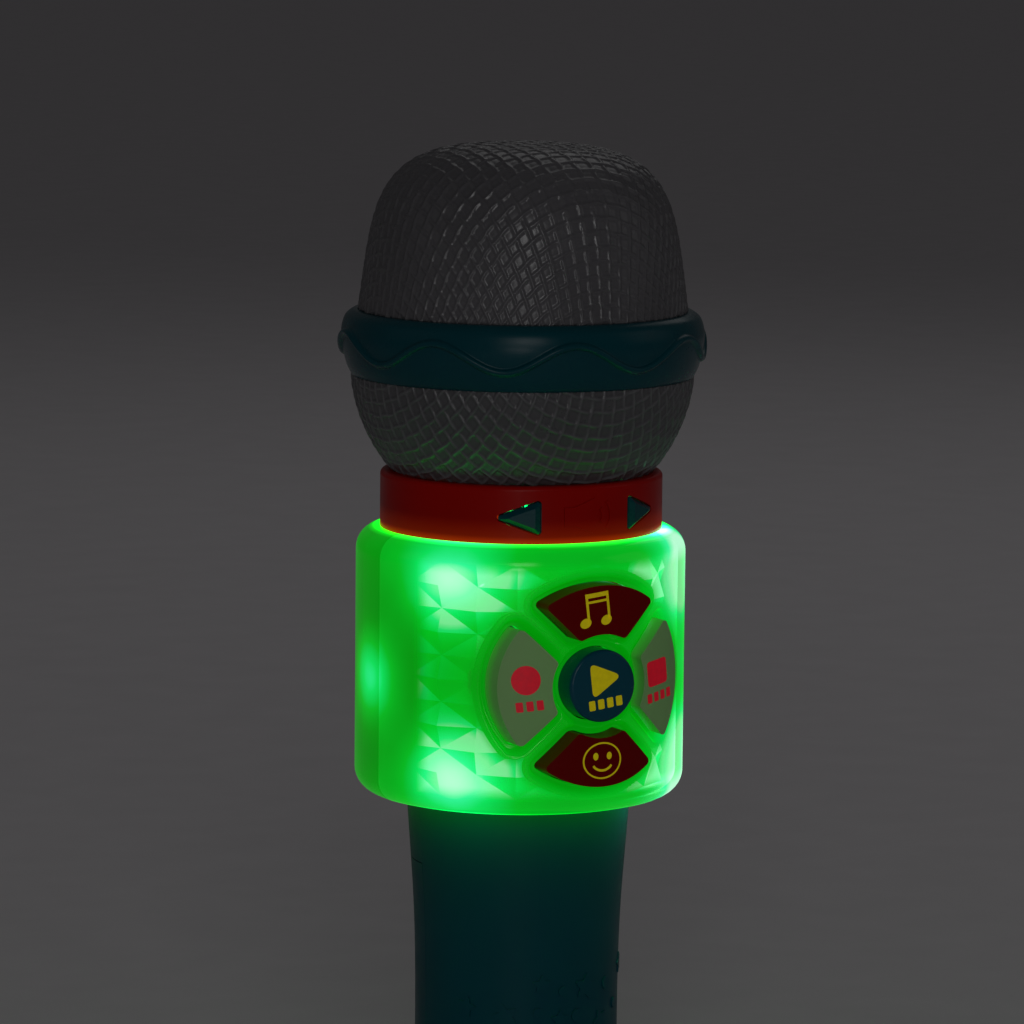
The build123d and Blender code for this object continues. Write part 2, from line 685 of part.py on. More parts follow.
def confetti():
    """Raised stars and dots round the front of the grip: angle, height, size, and a turn for a star."""
    marks = [
        (-13.5, 62.3, 5.0, 0), (-0.9, 60.6, 2.2, None), (14.1, 61.0, 6.8, -8), (32.3, 60.7, 2.8, None),
        (-34.1, 55.5, 6.8, 18), (-15.6, 56.2, 2.2, None), (-2.6, 54.5, 5.0, 0), (8.5, 55.0, 2.9, None),
        (56.0, 63.5, 5.6, 12), (-57.0, 57.0, 5.4, -14), (27.0, 53.0, 5.6, 24), (44.0, 55.5, 2.4, None),
    ]
    for row in range(5):
        for place in range(6):
            angle = -62 + 24 * place + 12 * (row % 2)
            z = 46.5 - 7.0 * row + 1.4 * sin(2.1 * place + row)
            if (place + row) % 2:
                marks.append((angle, z, 2.3 + 0.5 * (place % 2), None))
            else:
                marks.append((angle, z, 5.2 + 0.8 * ((place + row) % 3), 25 * place + 11 * row))
    return marks


def raised_marks():
    skin = handle_form(0.3) - handle_form(-0.4)
    shapes = []
    for angle, z, size, turn in confetti():
        outline = Circle(size / 2) if turn is None else star_outline(size, turn)
        across = on_circle(1.0, angle, 0)
        out = Vector(across.Y, -across.X, 0)
        plane = Plane(origin=out * 15.0 + UP * z, x_dir=across, z_dir=out)
        shapes.append(extrude(plane * outline, 12.0) & skin)
    return shapes


def handle_front():
    half = front_half(handle_hull())
    for z in (31.0, 80.0):
        half += front_half(tube(HANDLE_BORE + 0.5, TRAY_RADIUS, z - 1, z + 1))
    limit = front_half(handle_form(-1.0))
    for x, z in UPPER_HANDLE_SCREWS + LOWER_HANDLE_SCREWS:
        half += rod(2.8, (x, 0, z), FRONT, 30) & limit
        half -= rod(SCREW_HOLE, (x, 1, z), FRONT, 12)
    for x, y in NECK_SCREWS:
        if y < 0:
            half += rod(2.8, (x, y, 96.5), UP, 9)
            half -= rod(SCREW_HOLE, (x, y, 97.5), UP, 12)
    return half + raised_marks()


def handle_rear():
    half = rear_half(handle_hull())
    half -= block((-FAR, FAR), (-1, FAR), (COVER_BOTTOM - 0.2, COVER_TOP + 0.2)) - disc(19.6, 0, 100)
    for side in (-1, 1):
        half += block(sorted((side * 17.9, side * 19.3)), (0, 3.0), (11.5, COVER_TOP + 3.5))
        half += block(sorted((side * 17.9, side * 21.6)), (0, 3.0), (11.5, COVER_BOTTOM - 0.2))
        half += block(sorted((side * 17.9, side * 21.6)), (0, 3.0), (COVER_TOP + 0.2, COVER_TOP + 3.5))
    half += block((-18.6, 18.6), (6.0, 8.0), (11.5, COVER_BOTTOM - 0.2))
    half += block((-17.8, 17.8), (6.0, 8.0), (11.5, 25.0))
    for x, z in LOWER_HANDLE_SCREWS + [(0, COVER_SCREW_Z)]:
        half += rod(3.0, (x, 0.0, z), BACK, 7.0)
        hole = 1.5 if x else SCREW_HOLE
        half -= rod(hole, (x, -1.0, z), BACK, 10.0)
    limit = rear_half(handle_form(-1.0))
    for x, z in UPPER_HANDLE_SCREWS:
        half += rod(3.6, (x, 0, z), BACK, 30) & limit
        half -= rod(1.5, (x, -1, z), BACK, 30)
        half -= rod(2.5, (x, 8.0, z), BACK, 30)
    for x, y in NECK_SCREWS:
        if y > 0:
            half += rod(2.8, (x, y, 96.5), UP, 9)
            half -= rod(SCREW_HOLE, (x, y, 97.5), UP, 12)
    return half - block((-4.95, 4.95), (16, 30), (SWITCH_Z - 2.4, SWITCH_Z + 2.4))


def handle_screws():
    places = UPPER_HANDLE_SCREWS + LOWER_HANDLE_SCREWS
    return group([screw((x, 8.0, z), (0, -1, 0), 18.0) for x, z in places])


def handle_base():
    foot = spun(
        Polyline((0, 0), (21.5, 0)),
        ThreePointArc((21.5, 0), (23.3, 0.8), (24.0, 2.5)),
        Line((24.0, 2.5), (23.8, BASE_HEIGHT)),
        Polyline((23.8, BASE_HEIGHT), (0, BASE_HEIGHT), (0, 0)),
    )
    plug = disc(17.0, BASE_HEIGHT - 0.5, 11.0) + disc(19.4, 9.3, 11.0)
    return foot + plug - disc(15.0, 2.5, 12.0)


# ---- power: cover, switch, batteries ----
def battery_cover():
    skin = handle_form() - disc(HANDLE_BORE, 0, 120)
    cover = skin & block((-FAR, FAR), (0.1, FAR), (COVER_BOTTOM, COVER_TOP))
    limit = handle_form(-0.5)
    cover += rod(4.4, (0, 8.3, COVER_SCREW_Z), BACK, 30) & limit
    cover -= rod(3.1, (0, 9.9, COVER_SCREW_Z), BACK, 30)
    return cover - rod(1.5, (0, 0, COVER_SCREW_Z), BACK, 30)


def battery_cover_screw():
    return screw((0, 9.9, COVER_SCREW_Z), (0, -1, 0), 9.0, head_radius=2.7, head_height=2.0)


def power_switch_knob():
    knob = block((-2.3, 2.3), (17.6, 24.2), (SWITCH_Z - 2.1, SWITCH_Z + 2.1))
    rib = block((-0.3, 0.3), (24.0, 24.6), (SWITCH_Z - 1.7, SWITCH_Z + 1.7))
    ribs = [Pos(x, 0, 0) * rib for x in (-1.5, 0, 1.5)]
    plate = block((-4.4, 4.4), (17.6, 18.6), (SWITCH_Z - 3.4, SWITCH_Z + 3.4))
    stem = block((-1.2, 1.2), (15.2, 18.0), (SWITCH_Z - 1.0, SWITCH_Z + 1.0))
    return Pos(SWITCH_REST_X, 0, 0) * (knob + plate + stem + ribs)


def power_switch_body():
    body = block((-6.5, 6.5), (9.0, 15.0), (SWITCH_Z - 3.0, SWITCH_Z + 3.0))
    slot = block((-3.9, 3.9), (13.0, 16.0), (SWITCH_Z - 1.2, SWITCH_Z + 1.2))
    pins = [rod(0.5, (x, 6.0, SWITCH_Z), BACK, 3.5) for x in (-4.0, 0.0, 4.0)]
    return (body - slot) + pins


def battery_tray():
    tray = disc(TRAY_RADIUS, TRAY_BOTTOM, TRAY_TOP) & block((-FAR, FAR), (-FAR, 4.6), (0, 120))
    for x, y, _ in CELL_PLACES:
        tray -= rod(BATTERY_RADIUS + 0.2, (x, y, TRAY_BOTTOM + TRAY_WALL), UP, CELL_ROOM)
    for low in (TRAY_BOTTOM, TRAY_TOP - TRAY_WALL):
        tray += block((-13.0, 13.0), (0, 12.0), (low, low + TRAY_WALL))
    return tray


def battery(place):
    x, y, way = place
    low = TRAY_BOTTOM + TRAY_WALL + PLATE_THICK
    if way > 0:
        low += SPRING_LENGTH
        can = disc(BATTERY_RADIUS, low, low + BATTERY_BODY)
        nub = disc(2.75, low + BATTERY_BODY - 0.1, low + BATTERY_BODY + BATTERY_NUB)
    else:
        can = disc(BATTERY_RADIUS, low + BATTERY_NUB, low + BATTERY_NUB + BATTERY_BODY)
        nub = disc(2.75, low, low + BATTERY_NUB + 0.1)
    can = fillet(can.edges(), 0.5)
    return Pos(x, y, 0) * (can + nub)


def battery_springs():
    clearance = 0.05
    height = SPRING_LENGTH - 2 * (SPRING_WIRE + clearance)
    coil = Helix(pitch=height / 3, height=height, radius=3.4)
    section = Plane(origin=coil @ 0, z_dir=coil % 0) * Circle(SPRING_WIRE)
    spring = sweep(section, coil)
    lower_base = TRAY_BOTTOM + TRAY_WALL + PLATE_THICK
    upper_base = TRAY_TOP - TRAY_WALL - PLATE_THICK - SPRING_LENGTH
    springs = []
    for x, y, way in CELL_PLACES:
        base = lower_base if way > 0 else upper_base
        springs.append(Pos(x, y, base + SPRING_WIRE + clearance) * spring)
    return group(springs)


def battery_contacts():
    plates = []
    for x, y, _ in CELL_PLACES:
        for low in (TRAY_BOTTOM + TRAY_WALL, TRAY_TOP - TRAY_WALL - PLATE_THICK):
            plates.append(Pos(x, y, low) * disc(5.0, 0, PLATE_THICK))
    return group(plates)


# ---- leads ----
def battery_lead(x):
    return wire([(x, 2.0, TRAY_TOP), (x, 2.0, 97.0), (x, 10.0, 111.2)], bend=5.0)


def switch_leads():
    side = [(12.0, SWITCH_Z + 3.0), (12.0, 99.0), (7.0, 105.0), (7.0, 109.6), (10.2, 111.4)]
    return group([wire([(x, y, z) for y, z in side], bend=1.6) for x in (-0.8, 0.8)])


def speaker_leads():
    side = [(5.0, 183.9), (5.0, 176.0), (8.0, 166.0), (8.0, 157.0), (10.2, 150.6)]
    return group([wire([(x, y, z) for y, z in side], bend=4.0) for x in (4.2, 5.8)])


def microphone_leads():
    leads = [
        wire(
            [
                (0, y, 223.9), (0, y, 217.0), (-24.0, y, 207.0), (-26.0, y, 198.0), (-26.0, y, 187.0),
                (-6.0, y + 6.0, 172.0), (-5.0, y + 8.0, 158.0), (-5.0, y + 10.0, 150.6),
            ],
            radius=0.5,
            bend=3.0,
        )
        for y in (-0.7, 0.7)
    ]
    return group(leads)


def volume_ribbon():
    points = [(-14.2, 152.6), (-14.2, 155.0), (-10.6, 158.0), (-10.6, 162.4), (-13.6, 161.5)]
    path = FilletPolyline(*[(0, y, z) for y, z in points], radius=0.6)
    section = Plane(origin=path @ 0, x_dir=(1, 0, 0), z_dir=path % 0) * Rectangle(6.0, 0.6)
    return sweep(section, path)


def board_ribbon():
    return block((-4.0, 4.0), (BOARD_FRONT_Y + BOARD_THICK, MAIN_BOARD_Y), (119.8, 120.6))


PARTS = {
    "grille_dome": grille_dome(),
    "grille_bowl": grille_bowl(),
    "head_band": head_band(),
    "head_bulkhead": head_bulkhead(),
    "speaker_frame": speaker_frame(),
    "speaker_magnet": speaker_magnet(),
    "speaker_cone": speaker_cone(),
    "speaker_screws": speaker_screws(),
    "microphone_bridge": microphone_bridge(),
    "microphone_boot": microphone_boot(),
    "microphone_capsule": microphone_capsule(),
    "bridge_screws": bridge_screws(),
    "neck_collar": neck_collar(),
    "volume_down_button": volume_button(-1),
    "volume_up_button": volume_button(1),
    "volume_board": volume_board(),
    "volume_switches": volume_switches(),
    "bowl_screws": bowl_screws(),
    "collar_screws": collar_screws(),
    "light_shell_front": light_shell_front(),
    "light_shell_rear": light_shell_rear(),
    "shell_screws": shell_screws(),
    "light_diffuser": light_diffuser(),
    "music_button": music_button(),
    "record_button": record_button(),
    "voice_button": voice_button(),
    "stop_button": stop_button(),
    "play_button": play_button(),
    "keypad": keypad(),
    "keypad_board": keypad_board(),
    "front_lamps": front_lamps(),
    "side_lamps": side_lamps(),
    "main_board": main_board(),
    "main_board_parts": main_board_parts(),
    "inner_chassis": inner_chassis(),
    "board_screws": board_screws(),
    "neck_screws": neck_screws(),
    "handle_front": handle_front(),
    "handle_rear": handle_rear(),
    "handle_screws": handle_screws(),
    "handle_base": handle_base(),
    "battery_cover": battery_cover(),
    "battery_cover_screw": battery_cover_screw(),
    "power_switch_knob": power_switch_knob(),
    "power_switch_body": power_switch_body(),
    "battery_tray": battery_tray(),
    "battery_1": battery(CELL_PLACES[0]),
    "battery_2": battery(CELL_PLACES[1]),
    "battery_3": battery(CELL_PLACES[2]),
    "battery_springs": battery_springs(),
    "battery_contacts": battery_contacts(),
    "battery_lead_red": battery_lead(3.0),
    "battery_lead_black": battery_lead(-3.0),
    "switch_leads": switch_leads(),
    "speaker_leads": speaker_leads(),
    "microphone_leads": microphone_leads(),
    "volume_ribbon": volume_ribbon(),
    "board_ribbon": board_ribbon(),
}

os.makedirs("parts", exist_ok=True)
for node, shape in PARTS.items():
    export_step(shape, f"parts/{node}.step")
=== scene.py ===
"""The looks of the toy microphone: woven grilles, lit shell, faceted liner, printed keys and plastics."""

import json
import math

import bmesh
import bpy
import numpy as np
from mathutils import Matrix, Vector


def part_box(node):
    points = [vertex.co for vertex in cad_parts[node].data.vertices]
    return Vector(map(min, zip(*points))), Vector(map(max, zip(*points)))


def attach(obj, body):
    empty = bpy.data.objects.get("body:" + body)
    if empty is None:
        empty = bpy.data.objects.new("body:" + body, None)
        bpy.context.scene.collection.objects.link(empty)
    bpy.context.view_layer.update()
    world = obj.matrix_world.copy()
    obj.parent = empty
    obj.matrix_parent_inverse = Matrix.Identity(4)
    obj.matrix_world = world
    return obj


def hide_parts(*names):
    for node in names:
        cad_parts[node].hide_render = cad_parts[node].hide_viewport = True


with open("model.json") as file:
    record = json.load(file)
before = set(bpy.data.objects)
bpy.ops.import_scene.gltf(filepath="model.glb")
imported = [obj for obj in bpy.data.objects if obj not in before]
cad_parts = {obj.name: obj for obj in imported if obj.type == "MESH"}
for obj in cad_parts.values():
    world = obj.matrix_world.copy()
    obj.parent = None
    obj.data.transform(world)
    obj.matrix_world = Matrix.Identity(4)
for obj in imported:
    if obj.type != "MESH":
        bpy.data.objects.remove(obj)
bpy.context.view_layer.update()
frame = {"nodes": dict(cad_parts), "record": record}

MM = 0.001

# The camera of the reference view, in metres, with its lens in millimetres.
CAMERA_AZIMUTH = math.radians(-28.0)
CAMERA_DISTANCE = 1.1712
CAMERA_HEIGHT = 0.3192
CAMERA_PITCH = math.radians(7.68)
CAMERA_ROLL = math.radians(0.584)
CAMERA_LENS = 193.4
CAMERA_SHIFT = -0.0088

# The grilles: a net of square cells over a surface of revolution, in millimetres.
BAND_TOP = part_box("head_band")[1].z / MM
BAND_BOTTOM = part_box("head_band")[0].z / MM
HEAD_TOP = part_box("grille_dome")[1].z / MM
BOWL_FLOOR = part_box("neck_collar")[1].z / MM
DOME_RADIUS = 35.4
DOME_LEAN = 4.7
DOME_CROWN_POWER = 4.86
DOME_SHOULDER_POWER = 0.306
DOME_PITCH = 3.1
DOME_PINCH = -0.04
BOWL_RADIUS = 36.8
BOWL_DEPTH = 30.7
BOWL_FLOOR_POWER = 1.64
BOWL_SIDE_POWER = 0.363
BOWL_PITCH = 2.95
BOWL_PINCH = -0.025
BOWL_CELLS_AT_FLOOR = 8.2
GRILLE_WALL = 1.5
GRILLE_GAP = 0.02
BAND_TUCK = 4.0
COLLAR_TUCK = 1.5

# The weave. Its depth is in millimetres, and the wires' level and swing and the cells' crown are shares of it.
# The wires' half widths and sway, and the steps at which a cell's mesh has a line, are in cells.
WEAVE_DEPTH = 0.38
DOME_WIRE = 0.15
BOWL_WIRE = 0.125
WIRE_LEVEL = 0.78
WIRE_SWING = 0.22
CELL_CROWN = 0.22
WIRE_SWAY = 0.05
CELL_STEPS = (0.0, 0.075, 0.15, 0.32, 0.5, 0.68, 0.85, 0.925)

# The band: its side as radius and height, and the wave that runs round it, in millimetres.
BAND_SIDE = ((36.7, 191.2), (37.9, 194.0), (38.9, 199.5), (38.2, 203.3), (36.6, 204.8), (35.6, 205.0))
BAND_BORE = 34.1
WAVE_COUNT = 8
WAVE_START = math.radians(-11.25)
WAVE_Z = 198.15
WAVE_SWING = 2.85
WAVE_PROUD = 0.95
WAVE_HALF_WIDTH = 0.8
WAVE_ROUNDNESS = 0.6
WAVE_ROWS = (-1.5, -1.0, -0.97, -0.85, -0.6, -0.3, 0, 0.3, 0.6, 0.85, 0.97, 1.0, 1.5)
BAND_COLUMNS = 720
BAND_LOW_ROWS = 8
BAND_HIGH_ROWS = 13

# The glow that escapes round the volume buttons: lights at degrees from a button's middle and heights, at a
# radius in millimetres, with their power in watts and their size in metres.
VOLUME_ANGLE = 29.5
LEAK_PLACES = ((4, 166.0), (4, 162.0), (-3, 166.9), (-9, 166.9), (-11.2, 164.0))
LEAK_RADIUS = 27.6
LEAK_POWER = 0.0003
LEAK_CONE = math.radians(120)
LEAK_DIP = 0.3
LEAK_SIZE = 0.0004
LEAK_COLOUR = (0.0, 1.0, 0.1)

# The prints on the keys: a film of ink that starts just under the face, in strips that follow its curve.
PRINT_THICK = 0.05
PRINT_ROOT = 0.02
PRINT_STRIP = 0.8
PRINT_REACH = 30
PRINT_LEAN = math.radians(7)
BLOCK_SHARE = 0.34
BLOCK_CORNER = 0.3

# The lit shell, the keys in it and the liner behind it, in millimetres. Its seam is an angle in radians.
SHELL_LOW, SHELL_HIGH = (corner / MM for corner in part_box("light_shell_front"))
SHELL_RADIUS = -SHELL_LOW.y
SHELL_BOTTOM = SHELL_LOW.z
SHELL_TOP = SHELL_HIGH.z
SEAM_Y = SHELL_HIGH.y
SHELL_EDGE = 5.0
SHELL_WALL = 1.6
SHELL_SEAM = 0.004
FRONT_COLUMNS = 380
FRONT_ROWS = 118
REAR_COLUMNS = 200
REAR_ROWS = 12
COLLAR_HOLE = 25.6
HANDLE_HOLE = 20.5
KEYS_Z = (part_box("play_button")[0].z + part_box("play_button")[1].z) / 2 / MM
PLAY_RADIUS = 7.7
KEY_INNER = 11.0
KEY_OUTER = 21.4
KEY_SIDE = 3.1
KEY_CORNER = 1.0
KEY_GAP = 0.28
MOAT_FLOOR = 1.0
MOAT_WIDTH = 2.3
MOAT_DEPTH = 2.1
LINER_RADIUS = 29.8
LINER_STUD = 1.5
LINER_START = math.radians(-45.3)
LINER_HALF_WIDTH = math.radians(16.3)
LINER_HALF_HEIGHT = 5.0
LINER_COLUMNS = range(-3, 9)
LINER_ROWS = range(-6, 7)
LINER_WALL = 0.8
LINER_REACH = math.radians(80)
LINER_MARGIN = 3.0
LINER_KEY_GAP = 0.6
# The direction of the painted light that shades the liner's facets, across and up.
FACET_LIGHT_ACROSS = 0.45
FACET_LIGHT_UP = 0.9

# Where the shell is clear enough to show the liner, and the bright rim of its two ends, in millimetres.
WINDOW_REACH = math.radians(67.8)
WINDOW_KEY_GAP = 1.4
WINDOW_FADE = 3.2
END_GLOW_INSET = 3.0
END_GLOW_FADE = 1.4


def polar(radius, angle, z):
    """A point at an angle from the front, towards +X, in millimetres."""
    return Vector((radius * math.sin(angle), -radius * math.cos(angle), z))


# ---------------------------------------------------------------- meshes

def finish_mesh(name, bm, body="main", smooth=True):
    """Turns a bmesh in millimetres into a piece that rides on a body."""
    bmesh.ops.recalc_face_normals(bm, faces=bm.faces)
    mesh = bpy.data.meshes.new(name)
    bm.to_mesh(mesh)
    bm.free()
    mesh.transform(Matrix.Scale(MM, 4))
    if smooth:
        mesh.shade_smooth()
    else:
        mesh.shade_flat()
    piece = bpy.data.objects.new(name, mesh)
    bpy.context.scene.collection.objects.link(piece)
    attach(piece, body)
    return piece


def dome_radius(share):
    """The dome's outside radius at a share of the way from the band to the crown."""
    shoulder = np.maximum(1 - share**DOME_CROWN_POWER, 0) ** DOME_SHOULDER_POWER
    return (DOME_RADIUS - DOME_LEAN * share) * shoulder


def bowl_radius(z):
    """The bowl's outside radius at a height."""
    return BOWL_RADIUS * (1 - ((BAND_BOTTOM - z) / BOWL_DEPTH) ** BOWL_FLOOR_POWER) ** BOWL_SIDE_POWER


def dome_profile():
    """Radius and height of the dome's outside, from its crown to below the band's top face."""
    share = np.sin(np.linspace(math.pi / 2, 0, 400))
    height = BAND_TOP + (HEAD_TOP - BAND_TOP) * share
    return np.append(dome_radius(share), DOME_RADIUS), np.append(height, BAND_TOP - BAND_TUCK)


def bowl_profile():
    """Radius and height of the bowl's outside, from inside the collar's mouth to behind the band."""
    height = np.linspace(BOWL_FLOOR - COLLAR_TUCK, BAND_BOTTOM, 200)
    return np.append(bowl_radius(height), BOWL_RADIUS), np.append(height, BAND_BOTTOM + BAND_TUCK)


def drape(u, v, pinch):
    """Angle from the front and distance in cells from the pole, for points of a net laid over a round form.

    pinch draws the net in along its diagonals, or out when it is negative, which shears the cells there.
    """
    bearing = np.arctan2(u, v)
    angle = bearing.copy()
    for _ in range(12):
        across = (1 + pinch) * np.sin(angle) + pinch * np.sin(3 * angle)
        along = (1 + pinch) * np.cos(angle) - pinch * np.cos(3 * angle)
        turn = np.arctan2(across, along) - angle
        turn = (turn + math.pi) % (2 * math.pi) - math.pi
        angle = bearing - turn
    stretch = np.sqrt((1 + pinch) ** 2 + pinch**2 - 2 * pinch * (1 + pinch) * np.cos(4 * angle))
    return angle, np.hypot(u, v) / stretch


def wire(offset, half_width):
    """Height of a round wire, from 1 on its crest to 0 at its foot, by the offset from its middle."""
    return np.sqrt(np.maximum(0, 1 - (offset / half_width) ** 2))


def weave_height(u, v, half_width):
    """Height of the net at (u, v) in cells: wires that pass over and under each other round crowned cells."""
    column = np.round(u)
    row = np.round(v)
    warp = wire(u - column, half_width) * (WIRE_LEVEL + WIRE_SWING * np.cos(math.pi * v) * (-1.0) ** column)
    weft = wire(v - row, half_width) * (WIRE_LEVEL - WIRE_SWING * np.cos(math.pi * u) * (-1.0) ** row)
    crown = CELL_CROWN * np.abs(np.sin(math.pi * u) * np.sin(math.pi * v))
    return np.maximum(np.maximum(warp, weft), crown)


def woven_surface(profile, pitch, cells_at_start, pinch, half_width, cuts):
    """The woven outside of a round form. cuts are (height, keep_above) planes that trim it."""
    radius, height = profile
    step = np.hypot(np.diff(radius), np.diff(height))
    cells = cells_at_start + np.append(0, np.cumsum(step)) / pitch
    reach = int(cells[-1]) + 2
    ticks = np.array([i + f for i in range(-reach, reach) for f in CELL_STEPS] + [reach])
    u, v = (axis.ravel() for axis in np.meshgrid(ticks, ticks, indexing="ij"))
    height_share = weave_height(u, v, half_width)
    swayed_u = u + WIRE_SWAY * np.sin(math.pi * v) * np.cos(math.pi * u)
    swayed_v = v + WIRE_SWAY * np.sin(math.pi * u) * np.cos(math.pi * v)
    angle, distance = drape(swayed_u, swayed_v, pinch)
    # The net starts a little before the profile and stops a little short of its end.
    inside = (distance > cells[0] - 0.6) & (distance < cells[-1] - 0.2)
    distance = np.clip(distance, cells[0], cells[-1])
    r = np.interp(distance, cells, radius)
    z = np.interp(distance, cells, height)
    outward = 1 if height[-1] > height[0] else -1
    slope_r = outward * np.gradient(radius, cells)
    slope_z = outward * np.gradient(height, cells)
    normal_r = np.interp(distance, cells, slope_z / np.hypot(slope_r, slope_z))
    normal_z = np.interp(distance, cells, -slope_r / np.hypot(slope_r, slope_z))
    sunk = -WEAVE_DEPTH * (1 - height_share)
    r = r + normal_r * sunk
    z = z + normal_z * sunk
    points = np.stack([r * np.sin(angle), -r * np.cos(angle), z], axis=1)
    side = len(ticks)
    bm = bmesh.new()
    crest = bm.verts.layers.float.new("crest")
    grid = {}
    index = np.arange(side * side).reshape(side, side)
    used = inside.reshape(side, side)
    whole = used[:-1, :-1] & used[1:, :-1] & used[1:, 1:] & used[:-1, 1:]
    for i, j in zip(*np.nonzero(whole)):
        corners = []
        for k in (index[i, j], index[i + 1, j], index[i + 1, j + 1], index[i, j + 1]):
            if k not in grid:
                grid[k] = bm.verts.new(points[k])
                grid[k][crest] = height_share[k]
            corners.append(grid[k])
        bm.faces.new(corners)
    for level, above in cuts:
        everything = bm.verts[:] + bm.edges[:] + bm.faces[:]
        bmesh.ops.bisect_plane(
            bm, geom=everything, dist=1e-5, plane_co=(0, 0, level), plane_no=(0, 0, 1),
            clear_inner=above, clear_outer=not above,
        )
    return bm


def rim_loop(bm, level):
    """The open edges at a height."""
    return [e for e in bm.edges if e.is_boundary and all(abs(v.co.z - level) < 1e-3 for v in e.verts)]


def extrude_ring(bm, edges, radius, z):
    """Extrudes a ring of edges to a new radius and height, and returns the new ring."""
    made = bmesh.ops.extrude_edge_only(bm, edges=edges)["geom"]
    for v in (g for g in made if isinstance(g, bmesh.types.BMVert)):
        reach = math.hypot(v.co.x, v.co.y)
        v.co = Vector((v.co.x * radius / reach, v.co.y * radius / reach, z))
    return [g for g in made if isinstance(g, bmesh.types.BMEdge) and g.is_boundary]


def grille_dome():
    """The woven dome, closed by a plain inside."""
    rim = BAND_TOP + GRILLE_GAP
    bm = woven_surface(dome_profile(), DOME_PITCH, 0.0, DOME_PINCH, DOME_WIRE, [(rim, True)])
    ring = rim_loop(bm, rim)
    for share in np.linspace(0, 1, 9)[:-1]:
        level = rim + (HEAD_TOP - rim - GRILLE_WALL) * share
        ring = extrude_ring(bm, ring, dome_radius(share) - GRILLE_WALL, level)
    ring = extrude_ring(bm, ring, 3.0, HEAD_TOP - GRILLE_WALL)
    bmesh.ops.edgeloop_fill(bm, edges=ring)
    piece = finish_mesh("grille_dome_weave", bm)
    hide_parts("grille_dome")
    return piece


def grille_bowl():
    """The woven bowl between band and collar, closed by a plain inside."""
    low, high = BOWL_FLOOR + GRILLE_GAP, BAND_BOTTOM - GRILLE_GAP
    cuts = [(low, True), (high, False)]
    bm = woven_surface(bowl_profile(), BOWL_PITCH, BOWL_CELLS_AT_FLOOR, BOWL_PINCH, BOWL_WIRE, cuts)
    top = extrude_ring(bm, rim_loop(bm, high), BOWL_RADIUS - GRILLE_WALL, high)
    bottom_edge = rim_loop(bm, low)
    reach = min(math.hypot(v.co.x, v.co.y) for e in bottom_edge for v in e.verts)
    bottom = extrude_ring(bm, bottom_edge, reach - GRILLE_WALL, low)
    for share in (0.25, 0.5, 0.75):
        z = high + (low - high) * share
        top = extrude_ring(bm, top, bowl_radius(z) - GRILLE_WALL, z)
    bmesh.ops.bridge_loops(bm, edges=top + bottom)
    piece = finish_mesh("grille_bowl_weave", bm)
    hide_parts("grille_bowl")
    return piece


def smooth_line(points):
    """A smooth line through points, as a Catmull-Rom curve."""
    steps = 12
    ends = [2 * Vector(points[0]) - Vector(points[1]), 2 * Vector(points[-1]) - Vector(points[-2])]
    knots = [ends[0]] + [Vector(p) for p in points] + [ends[1]]
    line = []
    for a, b, c, d in zip(knots, knots[1:], knots[2:], knots[3:]):
        for k in range(steps):
            t = k / steps
            bend = (2 * a - 5 * b + 4 * c - d) * t**2
            twist = (3 * b - a - 3 * c + d) * t**3
            line.append(0.5 * (2 * b + (c - a) * t + bend + twist))
    line.append(Vector(points[-1]))
    return line


def head_band():
    """The band with its thin raised wave, whose mesh rows run along the wave."""
    side = smooth_line(BAND_SIDE)
    side_r = [p.x for p in side]
    side_z = [p.y for p in side]
    across = [WAVE_HALF_WIDTH * s for s in WAVE_ROWS]
    bm = bmesh.new()
    rings = []
    for angle in np.linspace(0, 2 * math.pi, BAND_COLUMNS, endpoint=False):
        turn = WAVE_COUNT * (angle - WAVE_START)
        middle = WAVE_Z + WAVE_SWING * math.cos(turn)
        lean = math.hypot(1, WAVE_SWING * WAVE_COUNT / BAND_SIDE[2][0] * math.sin(turn))
        low, high = middle + across[0] * lean, middle + across[-1] * lean
        column = [(BAND_BORE, BAND_BOTTOM)]
        for s in np.linspace(0, 1, BAND_LOW_ROWS + 1)[:-1]:
            z = BAND_BOTTOM + (low - BAND_BOTTOM) * s
            column.append((np.interp(z, side_z, side_r), z))
        for offset in across:
            z = middle + offset * lean
            share = max(0, 1 - (offset / WAVE_HALF_WIDTH) ** 2) ** WAVE_ROUNDNESS
            column.append((np.interp(z, side_z, side_r) + WAVE_PROUD * share, z))
        for s in np.linspace(0, 1, BAND_HIGH_ROWS + 1)[1:]:
            z = BAND_TOP - (BAND_TOP - high) * (1 - s) ** 2
            column.append((np.interp(z, side_z, side_r), z))
        column.append((BAND_BORE, BAND_TOP))
        rings.append([bm.verts.new(polar(r, angle, z)) for r, z in column])
    for here, there in zip(rings, rings[1:] + rings[:1]):
        for a, b, c, d in zip(here, here[1:] + here[:1], there[1:] + there[:1], there):
            bm.faces.new((a, b, c, d))
    piece = finish_mesh("head_band_wave", bm)
    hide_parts("head_band")
    return piece


# ---------------------------------------------------------------- the lit shell

def key_distance(x, z):
    """Distance outside the nearest key's outline as seen from the front, negative inside it."""
    across = np.asarray(x, float)
    up = np.asarray(z, float) - KEYS_Z
    reach = np.hypot(across, up)
    nearest = reach - PLAY_RADIUS
    for px, pz in ((across, up), (across, -up), (up, across), (up, -across)):
        sides = (np.abs(px) - pz) / math.sqrt(2) + KEY_SIDE
        limits = [reach - KEY_OUTER + KEY_CORNER, KEY_INNER - reach + KEY_CORNER, sides + KEY_CORNER]
        outside = np.sqrt(sum(np.maximum(limit, 0) ** 2 for limit in limits))
        inside = np.minimum(np.maximum.reduce(limits), 0)
        nearest = np.minimum(nearest, outside + inside - KEY_CORNER)
    return nearest


